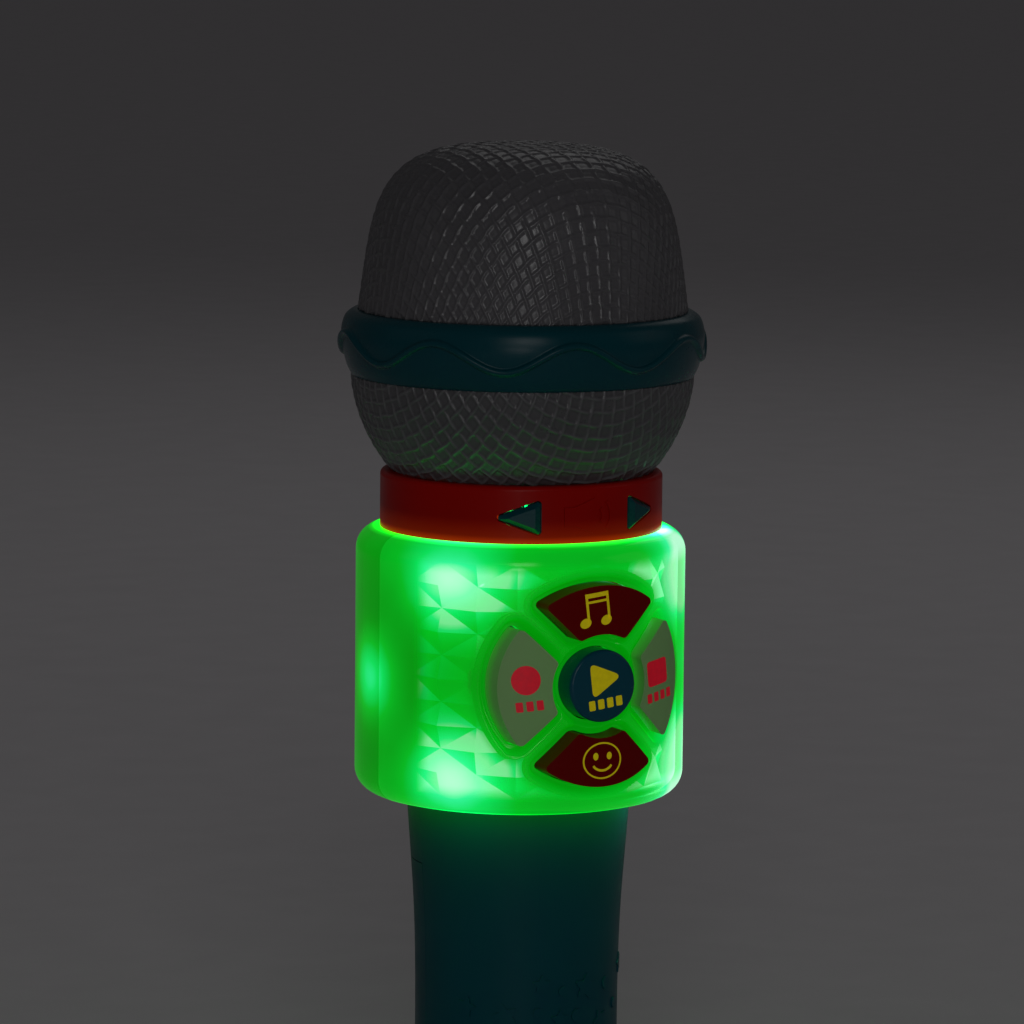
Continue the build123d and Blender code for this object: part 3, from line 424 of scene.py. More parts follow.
def moat_share(x, z):
    """Depth of the scooped moat round the keys, from 0 on the shell's face to 1 on the moat's floor."""
    out = (key_distance(x, z) - MOAT_FLOOR) / (MOAT_WIDTH - MOAT_FLOOR)
    out = np.clip(out, 0, 1)
    return 1 - out * out * (3 - 2 * out)


def liner_edge(angle, z, reach):
    """Distance inside an outline on the liner, in millimetres, at an angle from the front and a height."""
    ends = np.minimum(z - SHELL_BOTTOM, SHELL_TOP - z) - LINER_MARGIN
    sides = (reach - np.abs(angle)) * LINER_RADIUS
    return np.minimum(ends, sides)


def cut_away(bm, field, level):
    """Removes the part of a mesh where the field is below the level, with a clean edge along it."""
    bm.verts.index_update()
    co = np.array([v.co for v in bm.verts])
    value = dict(zip(bm.verts, field(co) - level))
    crossings = []
    for edge in list(bm.edges):
        a, b = edge.verts
        if value[a] * value[b] < 0:
            share = value[a] / (value[a] - value[b])
            vert = bmesh.utils.edge_split(edge, a, share)[1]
            value[vert] = 0.0
            crossings.append(vert)
    bmesh.ops.connect_verts(bm, verts=crossings)
    dead = [f for f in bm.faces if sum(value[v] for v in f.verts) < 0]
    bmesh.ops.delete(bm, geom=dead, context="FACES")


def shell_profile(wall_steps):
    """Radius and height of the shell's outside, from the collar's hole down to the handle's hole."""
    points = [(r, SHELL_TOP) for r in np.linspace(COLLAR_HOLE, SHELL_RADIUS - SHELL_EDGE, 4)]
    corner = SHELL_RADIUS - SHELL_EDGE
    for a in np.linspace(0, math.pi / 2, 10)[1:]:
        points.append((corner + SHELL_EDGE * math.sin(a), SHELL_TOP - SHELL_EDGE * (1 - math.cos(a))))
    wall = np.linspace(SHELL_TOP - SHELL_EDGE, SHELL_BOTTOM + SHELL_EDGE, wall_steps)
    points += [(SHELL_RADIUS, z) for z in wall[1:]]
    for a in np.linspace(math.pi / 2, 0, 10)[1:]:
        points.append((corner + SHELL_EDGE * math.sin(a), SHELL_BOTTOM + SHELL_EDGE * (1 - math.cos(a))))
    points += [(r, SHELL_BOTTOM) for r in np.linspace(corner, HANDLE_HOLE, 5)[1:]]
    return points


def thicken(piece, wall):
    """Gives a sheet a wall behind its face."""
    thick = piece.modifiers.new("wall", "SOLIDIFY")
    thick.thickness = wall * MM
    thick.offset = -1


def shell_half(name, node, start, end, columns, wall_steps, with_keys):
    """Half of the lit shell between two angles from the front, with or without the keys' moats and holes."""
    bm = bmesh.new()
    depth = bm.verts.layers.float.new("moat")
    clear = bm.verts.layers.float.new("clear")
    rim = bm.verts.layers.float.new("end")
    rows = []
    for radius, z in shell_profile(wall_steps):
        row = []
        for angle in np.linspace(start, end, columns):
            place = polar(radius, angle, z)
            share = 0.0
            if with_keys and abs(radius - SHELL_RADIUS) < 1e-6 and place.y < 0:
                share = float(moat_share(place.x, z))
                floor = radius - MOAT_DEPTH * share
                if share > 0:
                    place.y = -math.sqrt(floor * floor - place.x**2)
            vert = bm.verts.new(place)
            vert[depth] = share
            if with_keys:
                from_keys = float(key_distance(place.x, z)) - WINDOW_KEY_GAP
                seen = min(float(liner_edge(angle, z, WINDOW_REACH)), from_keys)
                vert[clear] = min(max(seen / WINDOW_FADE, 0), 1)
            inward = SHELL_RADIUS - END_GLOW_INSET - radius
            vert[rim] = min(max(inward / END_GLOW_FADE, 0), 1)
            row.append(vert)
        rows.append(row)
    for upper, lower in zip(rows, rows[1:]):
        for a, b, c, d in zip(upper, upper[1:], lower[1:], lower):
            bm.faces.new((a, b, c, d))
    if with_keys:
        cut_away(bm, lambda co: key_distance(co[:, 0], co[:, 2]), KEY_GAP)
    piece = finish_mesh(name, bm)
    thicken(piece, SHELL_WALL)
    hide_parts(node)
    return piece


def liner():
    """The light liner behind the front shell: flat-sided studs in diamonds, cut back round the keys."""
    bm = bmesh.new()
    verts = {}

    def corner(column, row, lift=0.0):
        key = (column, row)
        if key not in verts:
            angle = column * LINER_HALF_WIDTH + LINER_START
            z = KEYS_Z + row * LINER_HALF_HEIGHT
            verts[key] = bm.verts.new(polar(LINER_RADIUS + lift, angle, z))
        return verts[key]

    for column in LINER_COLUMNS:
        for row in LINER_ROWS:
            if (column + row) % 2:
                middle = corner(column, row, LINER_STUD)
                ring = [(column + 1, row), (column, row + 1), (column - 1, row), (column, row - 1)]
                ring = [corner(*place) for place in ring]
                for a, b in zip(ring, ring[1:] + ring[:1]):
                    bm.faces.new((middle, a, b))
    bmesh.ops.subdivide_edges(bm, edges=bm.edges[:], cuts=5, use_grid_fill=True)

    def field(co):
        keys = key_distance(co[:, 0], co[:, 2]) - LINER_KEY_GAP
        return np.minimum(keys, liner_edge(np.arctan2(co[:, 0], -co[:, 1]), co[:, 2], LINER_REACH))

    cut_away(bm, field, 0.0)
    # Painted shading: how much each facet faces a light that leans across the liner and up.
    facet_shade = bm.faces.layers.float.new("facet_shade")
    for face in bm.faces:
        face.normal_update()
        out = face.calc_center_median()
        out.z = 0
        out.normalize()
        normal = face.normal * (1 if face.normal.dot(out) > 0 else -1)
        face[facet_shade] = normal.dot(Vector((-FACET_LIGHT_ACROSS * out.y, FACET_LIGHT_ACROSS * out.x, FACET_LIGHT_UP)))
    piece = finish_mesh("light_liner", bm, smooth=False)
    thicken(piece, LINER_WALL)
    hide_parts("light_diffuser")
    return piece


# ---------------------------------------------------------------- prints on the keys

def turned(points, cx, cz, angle):
    """Points turned about a centre, counterclockwise as seen from the front."""
    c, s = math.cos(angle), math.sin(angle)
    return [(cx + (x - cx) * c - (z - cz) * s, cz + (x - cx) * s + (z - cz) * c) for x, z in points]


def ellipse(cx, cz, rx, rz, count=40):
    """Points of an upright ellipse."""
    angles = [2 * math.pi * i / count for i in range(count)]
    return [(cx + rx * math.cos(a), cz + rz * math.sin(a)) for a in angles]


def rectangle(cx, cz, half_width, half_height):
    """Corners of an upright rectangle."""
    left, right = cx - half_width, cx + half_width
    low, high = cz - half_height, cz + half_height
    return [(left, low), (right, low), (right, high), (left, high)]


def rounded(points, radius):
    """The outline with each corner rounded."""
    steps = 6
    made = []
    count = len(points)
    for i, here in enumerate(points):
        here = Vector(here)
        before = (Vector(points[i - 1]) - here).normalized()
        after = (Vector(points[(i + 1) % count]) - here).normalized()
        half = before.angle(after) / 2
        start = here + before * radius / math.tan(half)
        end = here + after * radius / math.tan(half)
        for k in range(steps + 1):
            t = k / steps
            made.append(tuple(start * (1 - t) ** 2 + here * 2 * t * (1 - t) + end * t**2))
    return made


def stroke(bm, points, width, closed=False):
    """A drawn line of a given width, open with plain ends or closed into a ring."""
    path = [Vector(p) for p in points]
    count = len(path)
    left, right = [], []
    for i, here in enumerate(path):
        before = path[i - 1] if i or closed else here
        after = path[(i + 1) % count] if i + 1 < count or closed else here
        way = (after - before).normalized()
        side = Vector((-way.y, way.x)) * width / 2
        left.append(bm.verts.new((here.x + side.x, 0, here.y + side.y)))
        right.append(bm.verts.new((here.x - side.x, 0, here.y - side.y)))
    for i in range(count if closed else count - 1):
        j = (i + 1) % count
        bm.faces.new((left[i], left[j], right[j], right[i]))


def fill(bm, points):
    """A filled outline."""
    verts = [bm.verts.new((x, 0, z)) for x, z in points]
    bm.faces.new(verts)


def print_piece(name, button, bm):
    """Wraps flat artwork, drawn round the keypad's middle, onto a key's face as a thin film of ink."""
    face_radius = max(math.hypot(v.co.x, v.co.y) for v in frame["nodes"][button].data.vertices) / MM
    flat = button == "play_button"
    for x in np.arange(-PRINT_REACH, PRINT_REACH, PRINT_STRIP):
        everything = bm.verts[:] + bm.edges[:] + bm.faces[:]
        bmesh.ops.bisect_plane(bm, geom=everything, dist=1e-5, plane_co=(x, 0, 0), plane_no=(1, 0, 0))
    bmesh.ops.triangulate(bm, faces=bm.faces)
    made = bmesh.ops.extrude_face_region(bm, geom=bm.faces[:])["geom"]
    lifted = {g for g in made if isinstance(g, bmesh.types.BMVert)}
    for v in bm.verts:
        lift = PRINT_THICK if v in lifted else -PRINT_ROOT
        if flat:
            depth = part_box(button)[0].y / MM - lift
        else:
            depth = -math.sqrt((face_radius + lift) ** 2 - v.co.x**2)
        v.co = Vector((v.co.x, depth, v.co.z + KEYS_Z))
    return finish_mesh(name, bm, body=button, smooth=False)


def leaning(points, cx, cz):
    """Points turned about a centre by the lean of the prints, which rise to the right."""
    return turned(points, cx, cz, PRINT_LEAN)


def blocks(bm, count, cx, cz, width, height):
    """A row of small rounded blocks where a caption would stand."""
    pitch = width / count
    for i in range(count):
        x = cx + (i - (count - 1) / 2) * pitch
        block = rectangle(x, cz, pitch * BLOCK_SHARE, height / 2)
        fill(bm, leaning(rounded(block, BLOCK_CORNER), cx, cz))


def music_note():
    """Two notes joined by a double beam."""
    bm = bmesh.new()
    cx, low, high, half, stem = -1.1, 13.9, 20.0, 2.4, 0.28
    for x in (cx - half, cx + half):
        head = turned(ellipse(x - 0.75, low, 1.3, 1.0), x - 0.75, low, 0.35)
        fill(bm, leaning(head, cx, low))
        fill(bm, leaning(rectangle(x, (low + high) / 2, stem, (high - low) / 2), cx, low))
    for top, thick in ((high, 0.95), (high - 1.6, 0.5)):
        beam = rectangle(cx, top - thick / 2, half + stem, thick / 2)
        fill(bm, leaning(beam, cx, low))
    return print_piece("music_print", "music_button", bm)


def smile():
    """A plain smiling face: a ring, two eyes and an arc."""
    bm = bmesh.new()
    z = -15.8
    stroke(bm, ellipse(0, z, 4.4, 3.75, count=64), 0.36, closed=True)
    for x in (-1.6, 1.6):
        fill(bm, ellipse(x, z + 0.95, 0.6, 0.8))
    mouth = [(2.4 * math.sin(a), z - 0.15 - 1.95 * math.cos(a)) for a in np.linspace(-1.1, 1.1, 20)]
    stroke(bm, mouth, 0.5)
    return print_piece("smile_print", "voice_button", bm)


def record_mark():
    """A disc over three blocks."""
    bm = bmesh.new()
    fill(bm, ellipse(-16.2, 1.7, 2.8, 3.1, count=48))
    blocks(bm, 3, -15.4, -3.8, 6.0, 2.1)
    return print_piece("record_print", "record_button", bm)


def stop_mark():
    """A square over four blocks."""
    bm = bmesh.new()
    cx, cz = 14.9, 1.5
    fill(bm, leaning(rounded(rectangle(cx, cz, 3.0, 2.75), 0.9), cx, cz))
    blocks(bm, 4, 15.7, -3.6, 8.0, 2.0)
    return print_piece("stop_print", "stop_button", bm)


def play_mark():
    """A triangle over four blocks."""
    bm = bmesh.new()
    fill(bm, leaning(rounded([(-2.9, -2.3), (4.4, 1.6), (-2.9, 5.5)], 1.0), 0.5, 1.6))
    blocks(bm, 4, 0.6, -3.65, 8.6, 2.1)
    return print_piece("play_print", "play_button", bm)


# ---------------------------------------------------------------- materials

GRAIN_DEPTH = 0.00003


def new_material(name):
    """A material with its nodes, its links and its shader."""
    material = bpy.data.materials.new(name)
    material.use_nodes = True
    nodes = material.node_tree.nodes
    return material, nodes, material.node_tree.links, nodes["Principled BSDF"]


def math_node(nodes, links, kind, a, b=None):
    """A Math node on sockets or plain numbers, and its result."""
    node = nodes.new("ShaderNodeMath")
    node.operation = kind
    for socket, value in zip(node.inputs, (a, b)):
        if value is None:
            continue
        if isinstance(value, (int, float)):
            socket.default_value = value
        else:
            links.new(value, socket)
    return node.outputs[0]


def object_point(nodes):
    """The shaded point in the object's own frame, in metres."""
    return nodes.new("ShaderNodeTexCoord").outputs["Object"]


def noise(nodes, links, scale, detail=3.0):
    """Object-space noise whose cells are about 1/scale metres across."""
    node = nodes.new("ShaderNodeTexNoise")
    node.inputs["Scale"].default_value = scale
    node.inputs["Detail"].default_value = detail
    links.new(object_point(nodes), node.inputs["Vector"])
    return node.outputs["Fac"]


def between(nodes, links, share, low, high):
    """Maps the usual span of a noise, 0.25 to 0.75, to low..high."""
    node = nodes.new("ShaderNodeMapRange")
    links.new(share, node.inputs["Value"])
    node.inputs["From Min"].default_value = 0.25
    node.inputs["From Max"].default_value = 0.75
    node.inputs["To Min"].default_value = low
    node.inputs["To Max"].default_value = high
    return node.outputs["Result"]


def ramp(nodes, links, share, stops):
    """A colour ramp over a share, from (position, colour) stops."""
    node = nodes.new("ShaderNodeValToRGB")
    elements = node.color_ramp.elements
    elements[0].position, elements[0].color = stops[0][0], (*stops[0][1], 1)
    elements[1].position, elements[1].color = stops[-1][0], (*stops[-1][1], 1)
    for position, colour in stops[1:-1]:
        elements.new(position).color = (*colour, 1)
    links.new(share, node.inputs["Fac"])
    return node.outputs["Color"]


def bump(nodes, links, shader, height, strength, distance):
    """Roughens a shader's surface by a height that varies from 0 to 1."""
    node = nodes.new("ShaderNodeBump")
    node.inputs["Strength"].default_value = strength
    node.inputs["Distance"].default_value = distance
    links.new(height, node.inputs["Height"])
    links.new(node.outputs["Normal"], shader.inputs["Normal"])


def plastic(name, colour, roughness, drift=0.08, grain=2600, **sockets):
    """Moulded plastic: a slow drift of colour, a fine mould grain and a gloss that varies a little."""
    spread = 0.06
    material, nodes, links, shader = new_material(name)
    dark = [c * (1 - drift) for c in colour]
    light = [min(1, c * (1 + drift)) for c in colour]
    slow = noise(nodes, links, 45)
    links.new(ramp(nodes, links, slow, [(0.3, dark), (0.7, light)]), shader.inputs["Base Color"])
    fine = noise(nodes, links, grain, detail=2)
    blotch = noise(nodes, links, 160, detail=4)
    gloss = between(nodes, links, blotch, roughness - spread, roughness + spread)
    links.new(gloss, shader.inputs["Roughness"])
    bump(nodes, links, shader, fine, 0.25, GRAIN_DEPTH)
    for socket, value in sockets.items():
        shader.inputs[socket.replace("_", " ")].default_value = value
    return material


def painted_highlight(material, name, gain):
    """Lightens a material's colour where a number stored on the mesh is high: a painted highlight."""
    nodes, links = material.node_tree.nodes, material.node_tree.links
    shader = nodes["Principled BSDF"]
    colour = shader.inputs["Base Color"].links[0].from_socket
    lift = nodes.new("ShaderNodeVectorMath")
    lift.operation = "SCALE"
    links.new(colour, lift.inputs[0])
    more = math_node(nodes, links, "MULTIPLY", attribute(nodes, name), gain)
    links.new(math_node(nodes, links, "ADD", more, 1.0), lift.inputs["Scale"])
    links.new(lift.outputs["Vector"], shader.inputs["Base Color"])
    return material


def lit_edge(material, low, high, colour):
    """Light that shines through a material near a lower edge and fades out upwards, between two heights."""
    nodes, links = material.node_tree.nodes, material.node_tree.links
    parts = nodes.new("ShaderNodeSeparateXYZ")
    links.new(object_point(nodes), parts.inputs[0])
    share = nodes.new("ShaderNodeMapRange")
    links.new(parts.outputs["Z"], share.inputs["Value"])
    share.inputs["From Min"].default_value = low * MM
    share.inputs["From Max"].default_value = high * MM
    middle = [c / 5 for c in colour]
    glow = ramp(nodes, links, share.outputs["Result"], [(0.0, colour), (0.3, middle), (1.0, (0, 0, 0))])
    links.new(glow, nodes["Principled BSDF"].inputs["Emission Color"])
    nodes["Principled BSDF"].inputs["Emission Strength"].default_value = 1.0
    return material


def metal(name, colour, roughness):
    """Plated or bare metal with a fine mottle."""
    material, nodes, links, shader = new_material(name)
    shader.inputs["Metallic"].default_value = 1.0
    fine = noise(nodes, links, 900, detail=4)
    dark = [c * 0.8 for c in colour]
    links.new(ramp(nodes, links, fine, [(0.3, dark), (0.7, colour)]), shader.inputs["Base Color"])
    links.new(between(nodes, links, fine, roughness - 0.08, roughness + 0.1), shader.inputs["Roughness"])
    bump(nodes, links, shader, fine, 0.2, GRAIN_DEPTH)
    return material


# The even glow of each lit piece, and the strength of its light.
FRONT_GLOW = 0.27
REAR_GLOW = 0.15
LINER_GLOW = 0.43
LINER_STRENGTH = 1.05
LENS_GLOW = 0.7
LENS_STRENGTH = 2.0

# The lit plastic's own colour, how much of what lies behind it the shell covers, there and where it is clear,
# and how the clear part, the ends and the lamps change its glow, with the painted shade in the moat and the
# painted shading of the liner's facets.
SHELL_BASE = (0.01, 0.20, 0.03, 1)
SHELL_COVER = 0.99
CLEAR_COVER = 0.4
WINDOW_GAIN = 0.08
END_GAIN = 5.0
END_LIFT = 0.19
MOAT_PAINTED_SHADE = 0.06
SHELL_SPOT_GAIN = 0.62
LINER_SPOT_GAIN = 1.15
FACET_SHADE_CONTRAST = 0.95

# The drum's light in the foot of the collar, with its reach in millimetres, and the painted highlight that
# lightens the crests of the bowl's weave and leaves its hollows darker.
COLLAR_GLOW = (0.24, 0.02, 0.0)
COLLAR_GLOW_REACH = 5.0
CREST_HIGHLIGHT_GAIN = 0.8

# Where lamps make the shell bright: degrees from the front, height and reach in millimetres, and strength.
HOT_SPOTS = (
    (-57, 150.0, 9.0, 0.75),
    (-43, 152.0, 8.0, 0.35),
    (-55, 109.5, 9.0, 0.75),
    (-42, 108.0, 8.0, 0.3),
    (50, 150.0, 12.0, 1.4),
    (52, 109.0, 12.5, 1.5),
    (-92, 128.0, 9.0, 1.0),
    (92, 128.0, 9.0, 1.0),
)

# The colour of the glow from its dimmest to its brightest.
GLOW_STOPS = (
    (0.0, (0.0, 0.10, 0.0)),
    (0.3, (0.0, 0.27, 0.001)),
    (0.5, (0.0, 0.45, 0.012)),
    (0.7, (0.002, 0.70, 0.10)),
    (0.85, (0.03, 0.87, 0.30)),
    (1.0, (0.47, 0.95, 0.64)),
)


def glow_share(nodes, links, base, radius, spot_gain):
    """Brightness of lit plastic at a point: an even part, brighter ends, and a soft spot round each lamp."""
    def calc(kind, a, b=None):
        return math_node(nodes, links, kind, a, b)

    point = object_point(nodes)
    parts = nodes.new("ShaderNodeSeparateXYZ")
    links.new(point, parts.inputs[0])
    half = (SHELL_TOP - SHELL_BOTTOM) / 2 * MM
    up = calc("SUBTRACT", parts.outputs["Z"], SHELL_BOTTOM * MM + half)
    rise = calc("POWER", calc("ABSOLUTE", up), 2.0)
    total = calc("ADD", calc("MULTIPLY", rise, END_LIFT / half**2), base)
    for angle, z, reach, strength in HOT_SPOTS:
        centre = polar(radius, math.radians(angle), z) * MM
        away = nodes.new("ShaderNodeVectorMath")
        away.operation = "DISTANCE"
        links.new(point, away.inputs[0])
        away.inputs[1].default_value = centre
        fall = calc("POWER", calc("DIVIDE", away.outputs["Value"], reach * MM), 2.0)
        spot = calc("EXPONENT", calc("MULTIPLY", fall, -1.0))
        total = calc("ADD", calc("MULTIPLY", spot, strength * spot_gain), total)
    return total


def attribute(nodes, name):
    """A number stored on the mesh."""
    node = nodes.new("ShaderNodeAttribute")
    node.attribute_name = name
    return node.outputs["Fac"]


def lit_shell(name, base):
    """Milky plastic lit green from inside, clear enough to show the liner, and brightest at its two ends."""
    material, nodes, links, shader = new_material(name)
    share = glow_share(nodes, links, base, SHELL_RADIUS, SHELL_SPOT_GAIN)
    # Painted shade: the glow is dimmed in the moat round the keys, most on its floor.
    moat_shade = math_node(nodes, links, "MULTIPLY", attribute(nodes, "moat"), -MOAT_PAINTED_SHADE)
    share = math_node(nodes, links, "ADD", share, moat_shade)
    clear = attribute(nodes, "clear")
    share = math_node(nodes, links, "ADD", share, math_node(nodes, links, "MULTIPLY", clear, WINDOW_GAIN))
    cloud = between(nodes, links, noise(nodes, links, 70), -0.03, 0.03)
    share = math_node(nodes, links, "ADD", share, cloud)
    colour = nodes.new("ShaderNodeVectorMath")
    colour.operation = "SCALE"
    links.new(ramp(nodes, links, share, GLOW_STOPS), colour.inputs[0])
    gain = math_node(nodes, links, "MULTIPLY", attribute(nodes, "end"), END_GAIN)
    links.new(math_node(nodes, links, "ADD", gain, 1.0), colour.inputs["Scale"])
    links.new(colour.outputs["Vector"], shader.inputs["Emission Color"])
    shader.inputs["Emission Strength"].default_value = 1.0
    shader.inputs["Base Color"].default_value = SHELL_BASE
    shader.inputs["Specular IOR Level"].default_value = 0.35
    hidden = math_node(nodes, links, "MULTIPLY", clear, CLEAR_COVER - SHELL_COVER)
    links.new(math_node(nodes, links, "ADD", hidden, SHELL_COVER), shader.inputs["Alpha"])
    links.new(between(nodes, links, noise(nodes, links, 300), 0.12, 0.2), shader.inputs["Roughness"])
    return material


def lit_liner(name, base, strength):
    """The liner's glow with painted shading on its facets: each flat side is brighter or darker than its
    neighbours by how it faces a set light direction.
    """
    material, nodes, links, shader = new_material(name)
    share = glow_share(nodes, links, base, LINER_RADIUS, LINER_SPOT_GAIN)
    tilt = math_node(nodes, links, "MULTIPLY", attribute(nodes, "facet_shade"), FACET_SHADE_CONTRAST)
    bright = math_node(nodes, links, "MULTIPLY", share, share)
    share = math_node(nodes, links, "ADD", share, math_node(nodes, links, "MULTIPLY", bright, tilt))
    links.new(ramp(nodes, links, share, GLOW_STOPS), shader.inputs["Emission Color"])
    shader.inputs["Emission Strength"].default_value = strength
    shader.inputs["Base Color"].default_value = SHELL_BASE
    shader.inputs["Roughness"].default_value = 0.15
    return material


def ink(name, colour, glow):
    """Screen-printed ink: slightly uneven cover, a satin face and a painted glow in its own colour."""
    material, nodes, links, shader = new_material(name)
    fine = noise(nodes, links, 900)
    tint = ramp(nodes, links, fine, [(0.3, [c * 0.88 for c in colour]), (0.7, colour)])
    links.new(tint, shader.inputs["Base Color"])
    links.new(tint, shader.inputs["Emission Color"])
    shader.inputs["Emission Strength"].default_value = glow
    links.new(between(nodes, links, fine, 0.35, 0.5), shader.inputs["Roughness"])
    return material


def paint(piece, material):
    """Gives every material slot of a piece the same material."""
    if not piece.material_slots:
        piece.data.materials.append(material)
    for slot in piece.material_slots:
        slot.material = material


# ---------------------------------------------------------------- scene

# Soft lights: azimuth and elevation in degrees, distance and size in metres, and power in watts.
LIGHTS = (
    ("key", -26, 24, 1.7, 0.45, 1.7),
    ("low", -30, 3, 1.8, 0.25, 0.8),
    ("fill", -105, 25, 1.8, 1.0, 0.15),
    ("side", 60, 25, 1.8, 1.0, 0.45),
    ("back", 140, 40, 1.8, 1.0, 0.8),
)
LIGHT_AIM = 0.13
SKY_COLOUR = (0.95, 0.93, 0.96, 1)
SKY_STRENGTH = 0.035
FLOOR_COLOUR = (0.86, 0.83, 0.85)
FLOOR_RADIUS = 14


def camera():
    """The camera of the reference view."""
    data = bpy.data.cameras.new("camera")
    data.lens = CAMERA_LENS
    data.shift_x = CAMERA_SHIFT
    data.clip_end = 50
    eye = bpy.data.objects.new("camera", data)
    bpy.context.scene.collection.objects.link(eye)
    ahead = Vector((-math.sin(CAMERA_AZIMUTH), math.cos(CAMERA_AZIMUTH), 0))
    turn = (
        Matrix.Rotation(CAMERA_AZIMUTH, 4, "Z")
        @ Matrix.Rotation(math.pi / 2 - CAMERA_PITCH, 4, "X")
        @ Matrix.Rotation(CAMERA_ROLL, 4, "Z")
    )
    place = -ahead * CAMERA_DISTANCE
    place.z = CAMERA_HEIGHT
    eye.matrix_world = Matrix.Translation(place) @ turn
    bpy.context.scene.camera = eye


def area_light(name, azimuth, elevation, distance, size, power):
    """A soft square light that looks at the middle of the object."""
    data = bpy.data.lights.new(name, "AREA")
    data.shape = "SQUARE"
    data.size = size
    data.energy = power
    lamp = bpy.data.objects.new(name, data)
    bpy.context.scene.collection.objects.link(lamp)
    a, e = math.radians(azimuth), math.radians(elevation)
    away = Vector((math.sin(a) * math.cos(e), -math.cos(a) * math.cos(e), math.sin(e)))
    lamp.location = Vector((0, 0, LIGHT_AIM)) + away * distance
    lamp.rotation_euler = (-away).to_track_quat("-Z", "Y").to_euler()


def leak_light(name, angle, z):
    """A tiny green light inside the collar, for the glow that escapes round a volume button."""
    data = bpy.data.lights.new(name, "SPOT")
    data.energy = LEAK_POWER
    data.spot_size = LEAK_CONE
    data.color = LEAK_COLOUR
    data.shadow_soft_size = LEAK_SIZE
    lamp = bpy.data.objects.new(name, data)
    bpy.context.scene.collection.objects.link(lamp)
    lamp.location = polar(LEAK_RADIUS, angle, z) * MM
    lamp.rotation_euler = polar(1, angle, -LEAK_DIP).to_track_quat("-Z", "Y").to_euler()
    lamp.visible_camera = False


def studio():
    """A plain pale floor under plain soft light."""
    bm = bmesh.new()
    bmesh.ops.create_circle(bm, cap_ends=True, segments=96, radius=FLOOR_RADIUS)
    mesh = bpy.data.meshes.new("floor")
    bm.to_mesh(mesh)
    bm.free()
    floor = bpy.data.objects.new("floor", mesh)
    bpy.context.scene.collection.objects.link(floor)
    paint(floor, plastic("floor_paper", FLOOR_COLOUR, 0.75, drift=0.02, grain=400))
    world = bpy.data.worlds.new("studio")
    world.use_nodes = True
    sky = world.node_tree.nodes["Background"]
    sky.inputs["Color"].default_value = SKY_COLOUR
    sky.inputs["Strength"].default_value = SKY_STRENGTH
    bpy.context.scene.world = world
    bpy.context.scene.view_settings.view_transform = "Standard"
    for light in LIGHTS:
        area_light(*light)
    for side in (-1, 1):
        for i, (turn, z) in enumerate(LEAK_PLACES):
            leak_light(f"leak_{side}_{i}", math.radians(side * (VOLUME_ANGLE + turn)), z)


camera()

dome = grille_dome()
bowl = grille_bowl()
edge = math.acos(-SEAM_Y / SHELL_RADIUS)
front_shell = shell_half("lit_shell_front", "light_shell_front", -edge, edge, FRONT_COLUMNS, FRONT_ROWS, True)
start, end = edge + SHELL_SEAM, 2 * math.pi - edge - SHELL_SEAM
rear_shell = shell_half("lit_shell_rear", "light_shell_rear", start, end, REAR_COLUMNS, REAR_ROWS, False)
light_liner = liner()
band = head_band()

GRILLE = plastic("grille_plastic", (0.115, 0.111, 0.119), 0.27, drift=0.1, grain=1800)
paint(dome, GRILLE)
BOWL_PLASTIC = plastic("bowl_plastic", (0.085, 0.084, 0.089), 0.3, drift=0.1, grain=1800)
# Painted highlight: the bowl's weave is lighter on its crests and darker in its hollows.
paint(bowl, painted_highlight(BOWL_PLASTIC, "crest", CREST_HIGHLIGHT_GAIN))
paint(front_shell, lit_shell("lit_front", FRONT_GLOW))
paint(rear_shell, lit_shell("lit_rear", REAR_GLOW))
paint(light_liner, lit_liner("lit_facets", LINER_GLOW, LINER_STRENGTH))

# The last number is the strength of each ink's painted glow.
YELLOW = ink("yellow_ink", (0.85, 0.70, 0.0), 0.17)
PINK = ink("pink_ink", (0.85, 0.004, 0.025), 0.19)
for mark in (music_note, smile, play_mark):
    paint(mark(), YELLOW)
for mark in (record_mark, stop_mark):
    paint(mark(), PINK)

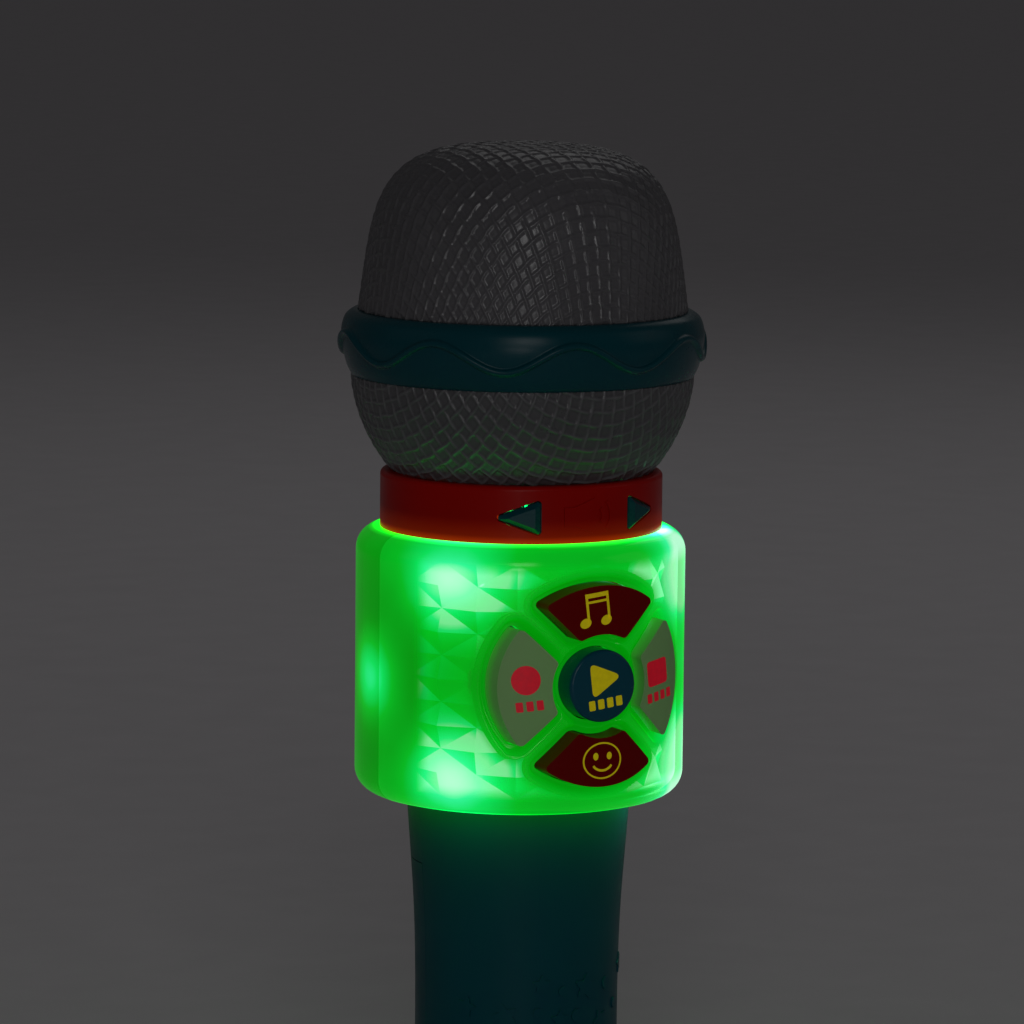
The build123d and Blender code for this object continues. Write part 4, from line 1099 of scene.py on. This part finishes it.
TEAL_GLOSS = plastic("teal_gloss", (0.0, 0.06, 0.078), 0.28, drift=0.05, Specular_IOR_Level=0.22)
TEAL = plastic("teal_plastic", (0.0, 0.07, 0.1), 0.42, drift=0.06, grain=1500, Specular_IOR_Level=0.16)
ORANGE = plastic("orange_plastic", (0.47, 0.0015, 0.0), 0.34, drift=0.05, Specular_IOR_Level=0.12)
lit_edge(ORANGE, SHELL_TOP, SHELL_TOP + COLLAR_GLOW_REACH, COLLAR_GLOW)
RED = plastic("red_plastic", (0.22, 0.0, 0.0), 0.3, drift=0.05, Specular_IOR_Level=0.12)
# The white keys' colour is tinted green: painted green light from the lit shell round them.
GREEN_LIT_WHITE_KEY = plastic("green_lit_white_key", (0.37, 0.71, 0.26), 0.38, drift=0.03, Specular_IOR_Level=0.2)
NAVY = plastic("navy_plastic", (0.0, 0.085, 0.13), 0.24, drift=0.05, Specular_IOR_Level=0.3)
paint(band, TEAL_GLOSS)
BLACK = plastic("black_plastic", (0.015, 0.015, 0.016), 0.45)
WHITE = plastic("white_abs", (0.62, 0.62, 0.58), 0.45)
RUBBER = plastic("grey_rubber", (0.22, 0.22, 0.23), 0.7, grain=900)
BLACK_RUBBER = plastic("black_rubber", (0.01, 0.01, 0.01), 0.75, grain=900)
BOARD = plastic("green_board", (0.01, 0.10, 0.03), 0.35, drift=0.2, grain=700)
PAPER = plastic("paper_cone", (0.03, 0.028, 0.026), 0.85, drift=0.3, grain=600)
WRAP = plastic("cell_wrap", (0.35, 0.24, 0.05), 0.3, drift=0.05)
FERRITE = plastic("ferrite", (0.05, 0.05, 0.052), 0.6, drift=0.2, grain=800)
WIRE_RED = plastic("wire_red", (0.5, 0.01, 0.01), 0.4)
WIRE_BLACK = plastic("wire_black", (0.02, 0.02, 0.02), 0.4)
RIBBON = plastic("ribbon_grey", (0.4, 0.4, 0.42), 0.5)
STEEL = metal("steel", (0.62, 0.62, 0.63), 0.3)
DARK_STEEL = metal("dark_steel", (0.3, 0.3, 0.31), 0.4)
LENS = lit_liner("lamp_lens", LENS_GLOW, LENS_STRENGTH)

BY_SLOT = {
    "teal_gloss": TEAL_GLOSS, "teal_plastic": TEAL, "orange_plastic": ORANGE, "red_plastic": RED,
    "white_plastic": GREEN_LIT_WHITE_KEY, "navy_plastic": NAVY, "grey_mesh_plastic": GRILLE, "lamp_lens": LENS,
    "white_abs": WHITE, "black_plastic": BLACK, "black_rubber": BLACK_RUBBER, "grey_rubber": RUBBER,
    "steel": STEEL, "dark_steel": DARK_STEEL, "ferrite": FERRITE, "paper": PAPER, "green_board": BOARD,
    "cell_wrap": WRAP, "wire_red": WIRE_RED, "wire_black": WIRE_BLACK, "ribbon_grey": RIBBON,
}
for part in frame["record"]["subparts"]:
    node = frame["nodes"][part["node"]]
    if not node.hide_render:
        paint(node, BY_SLOT[part["material_slot"]])

studio()
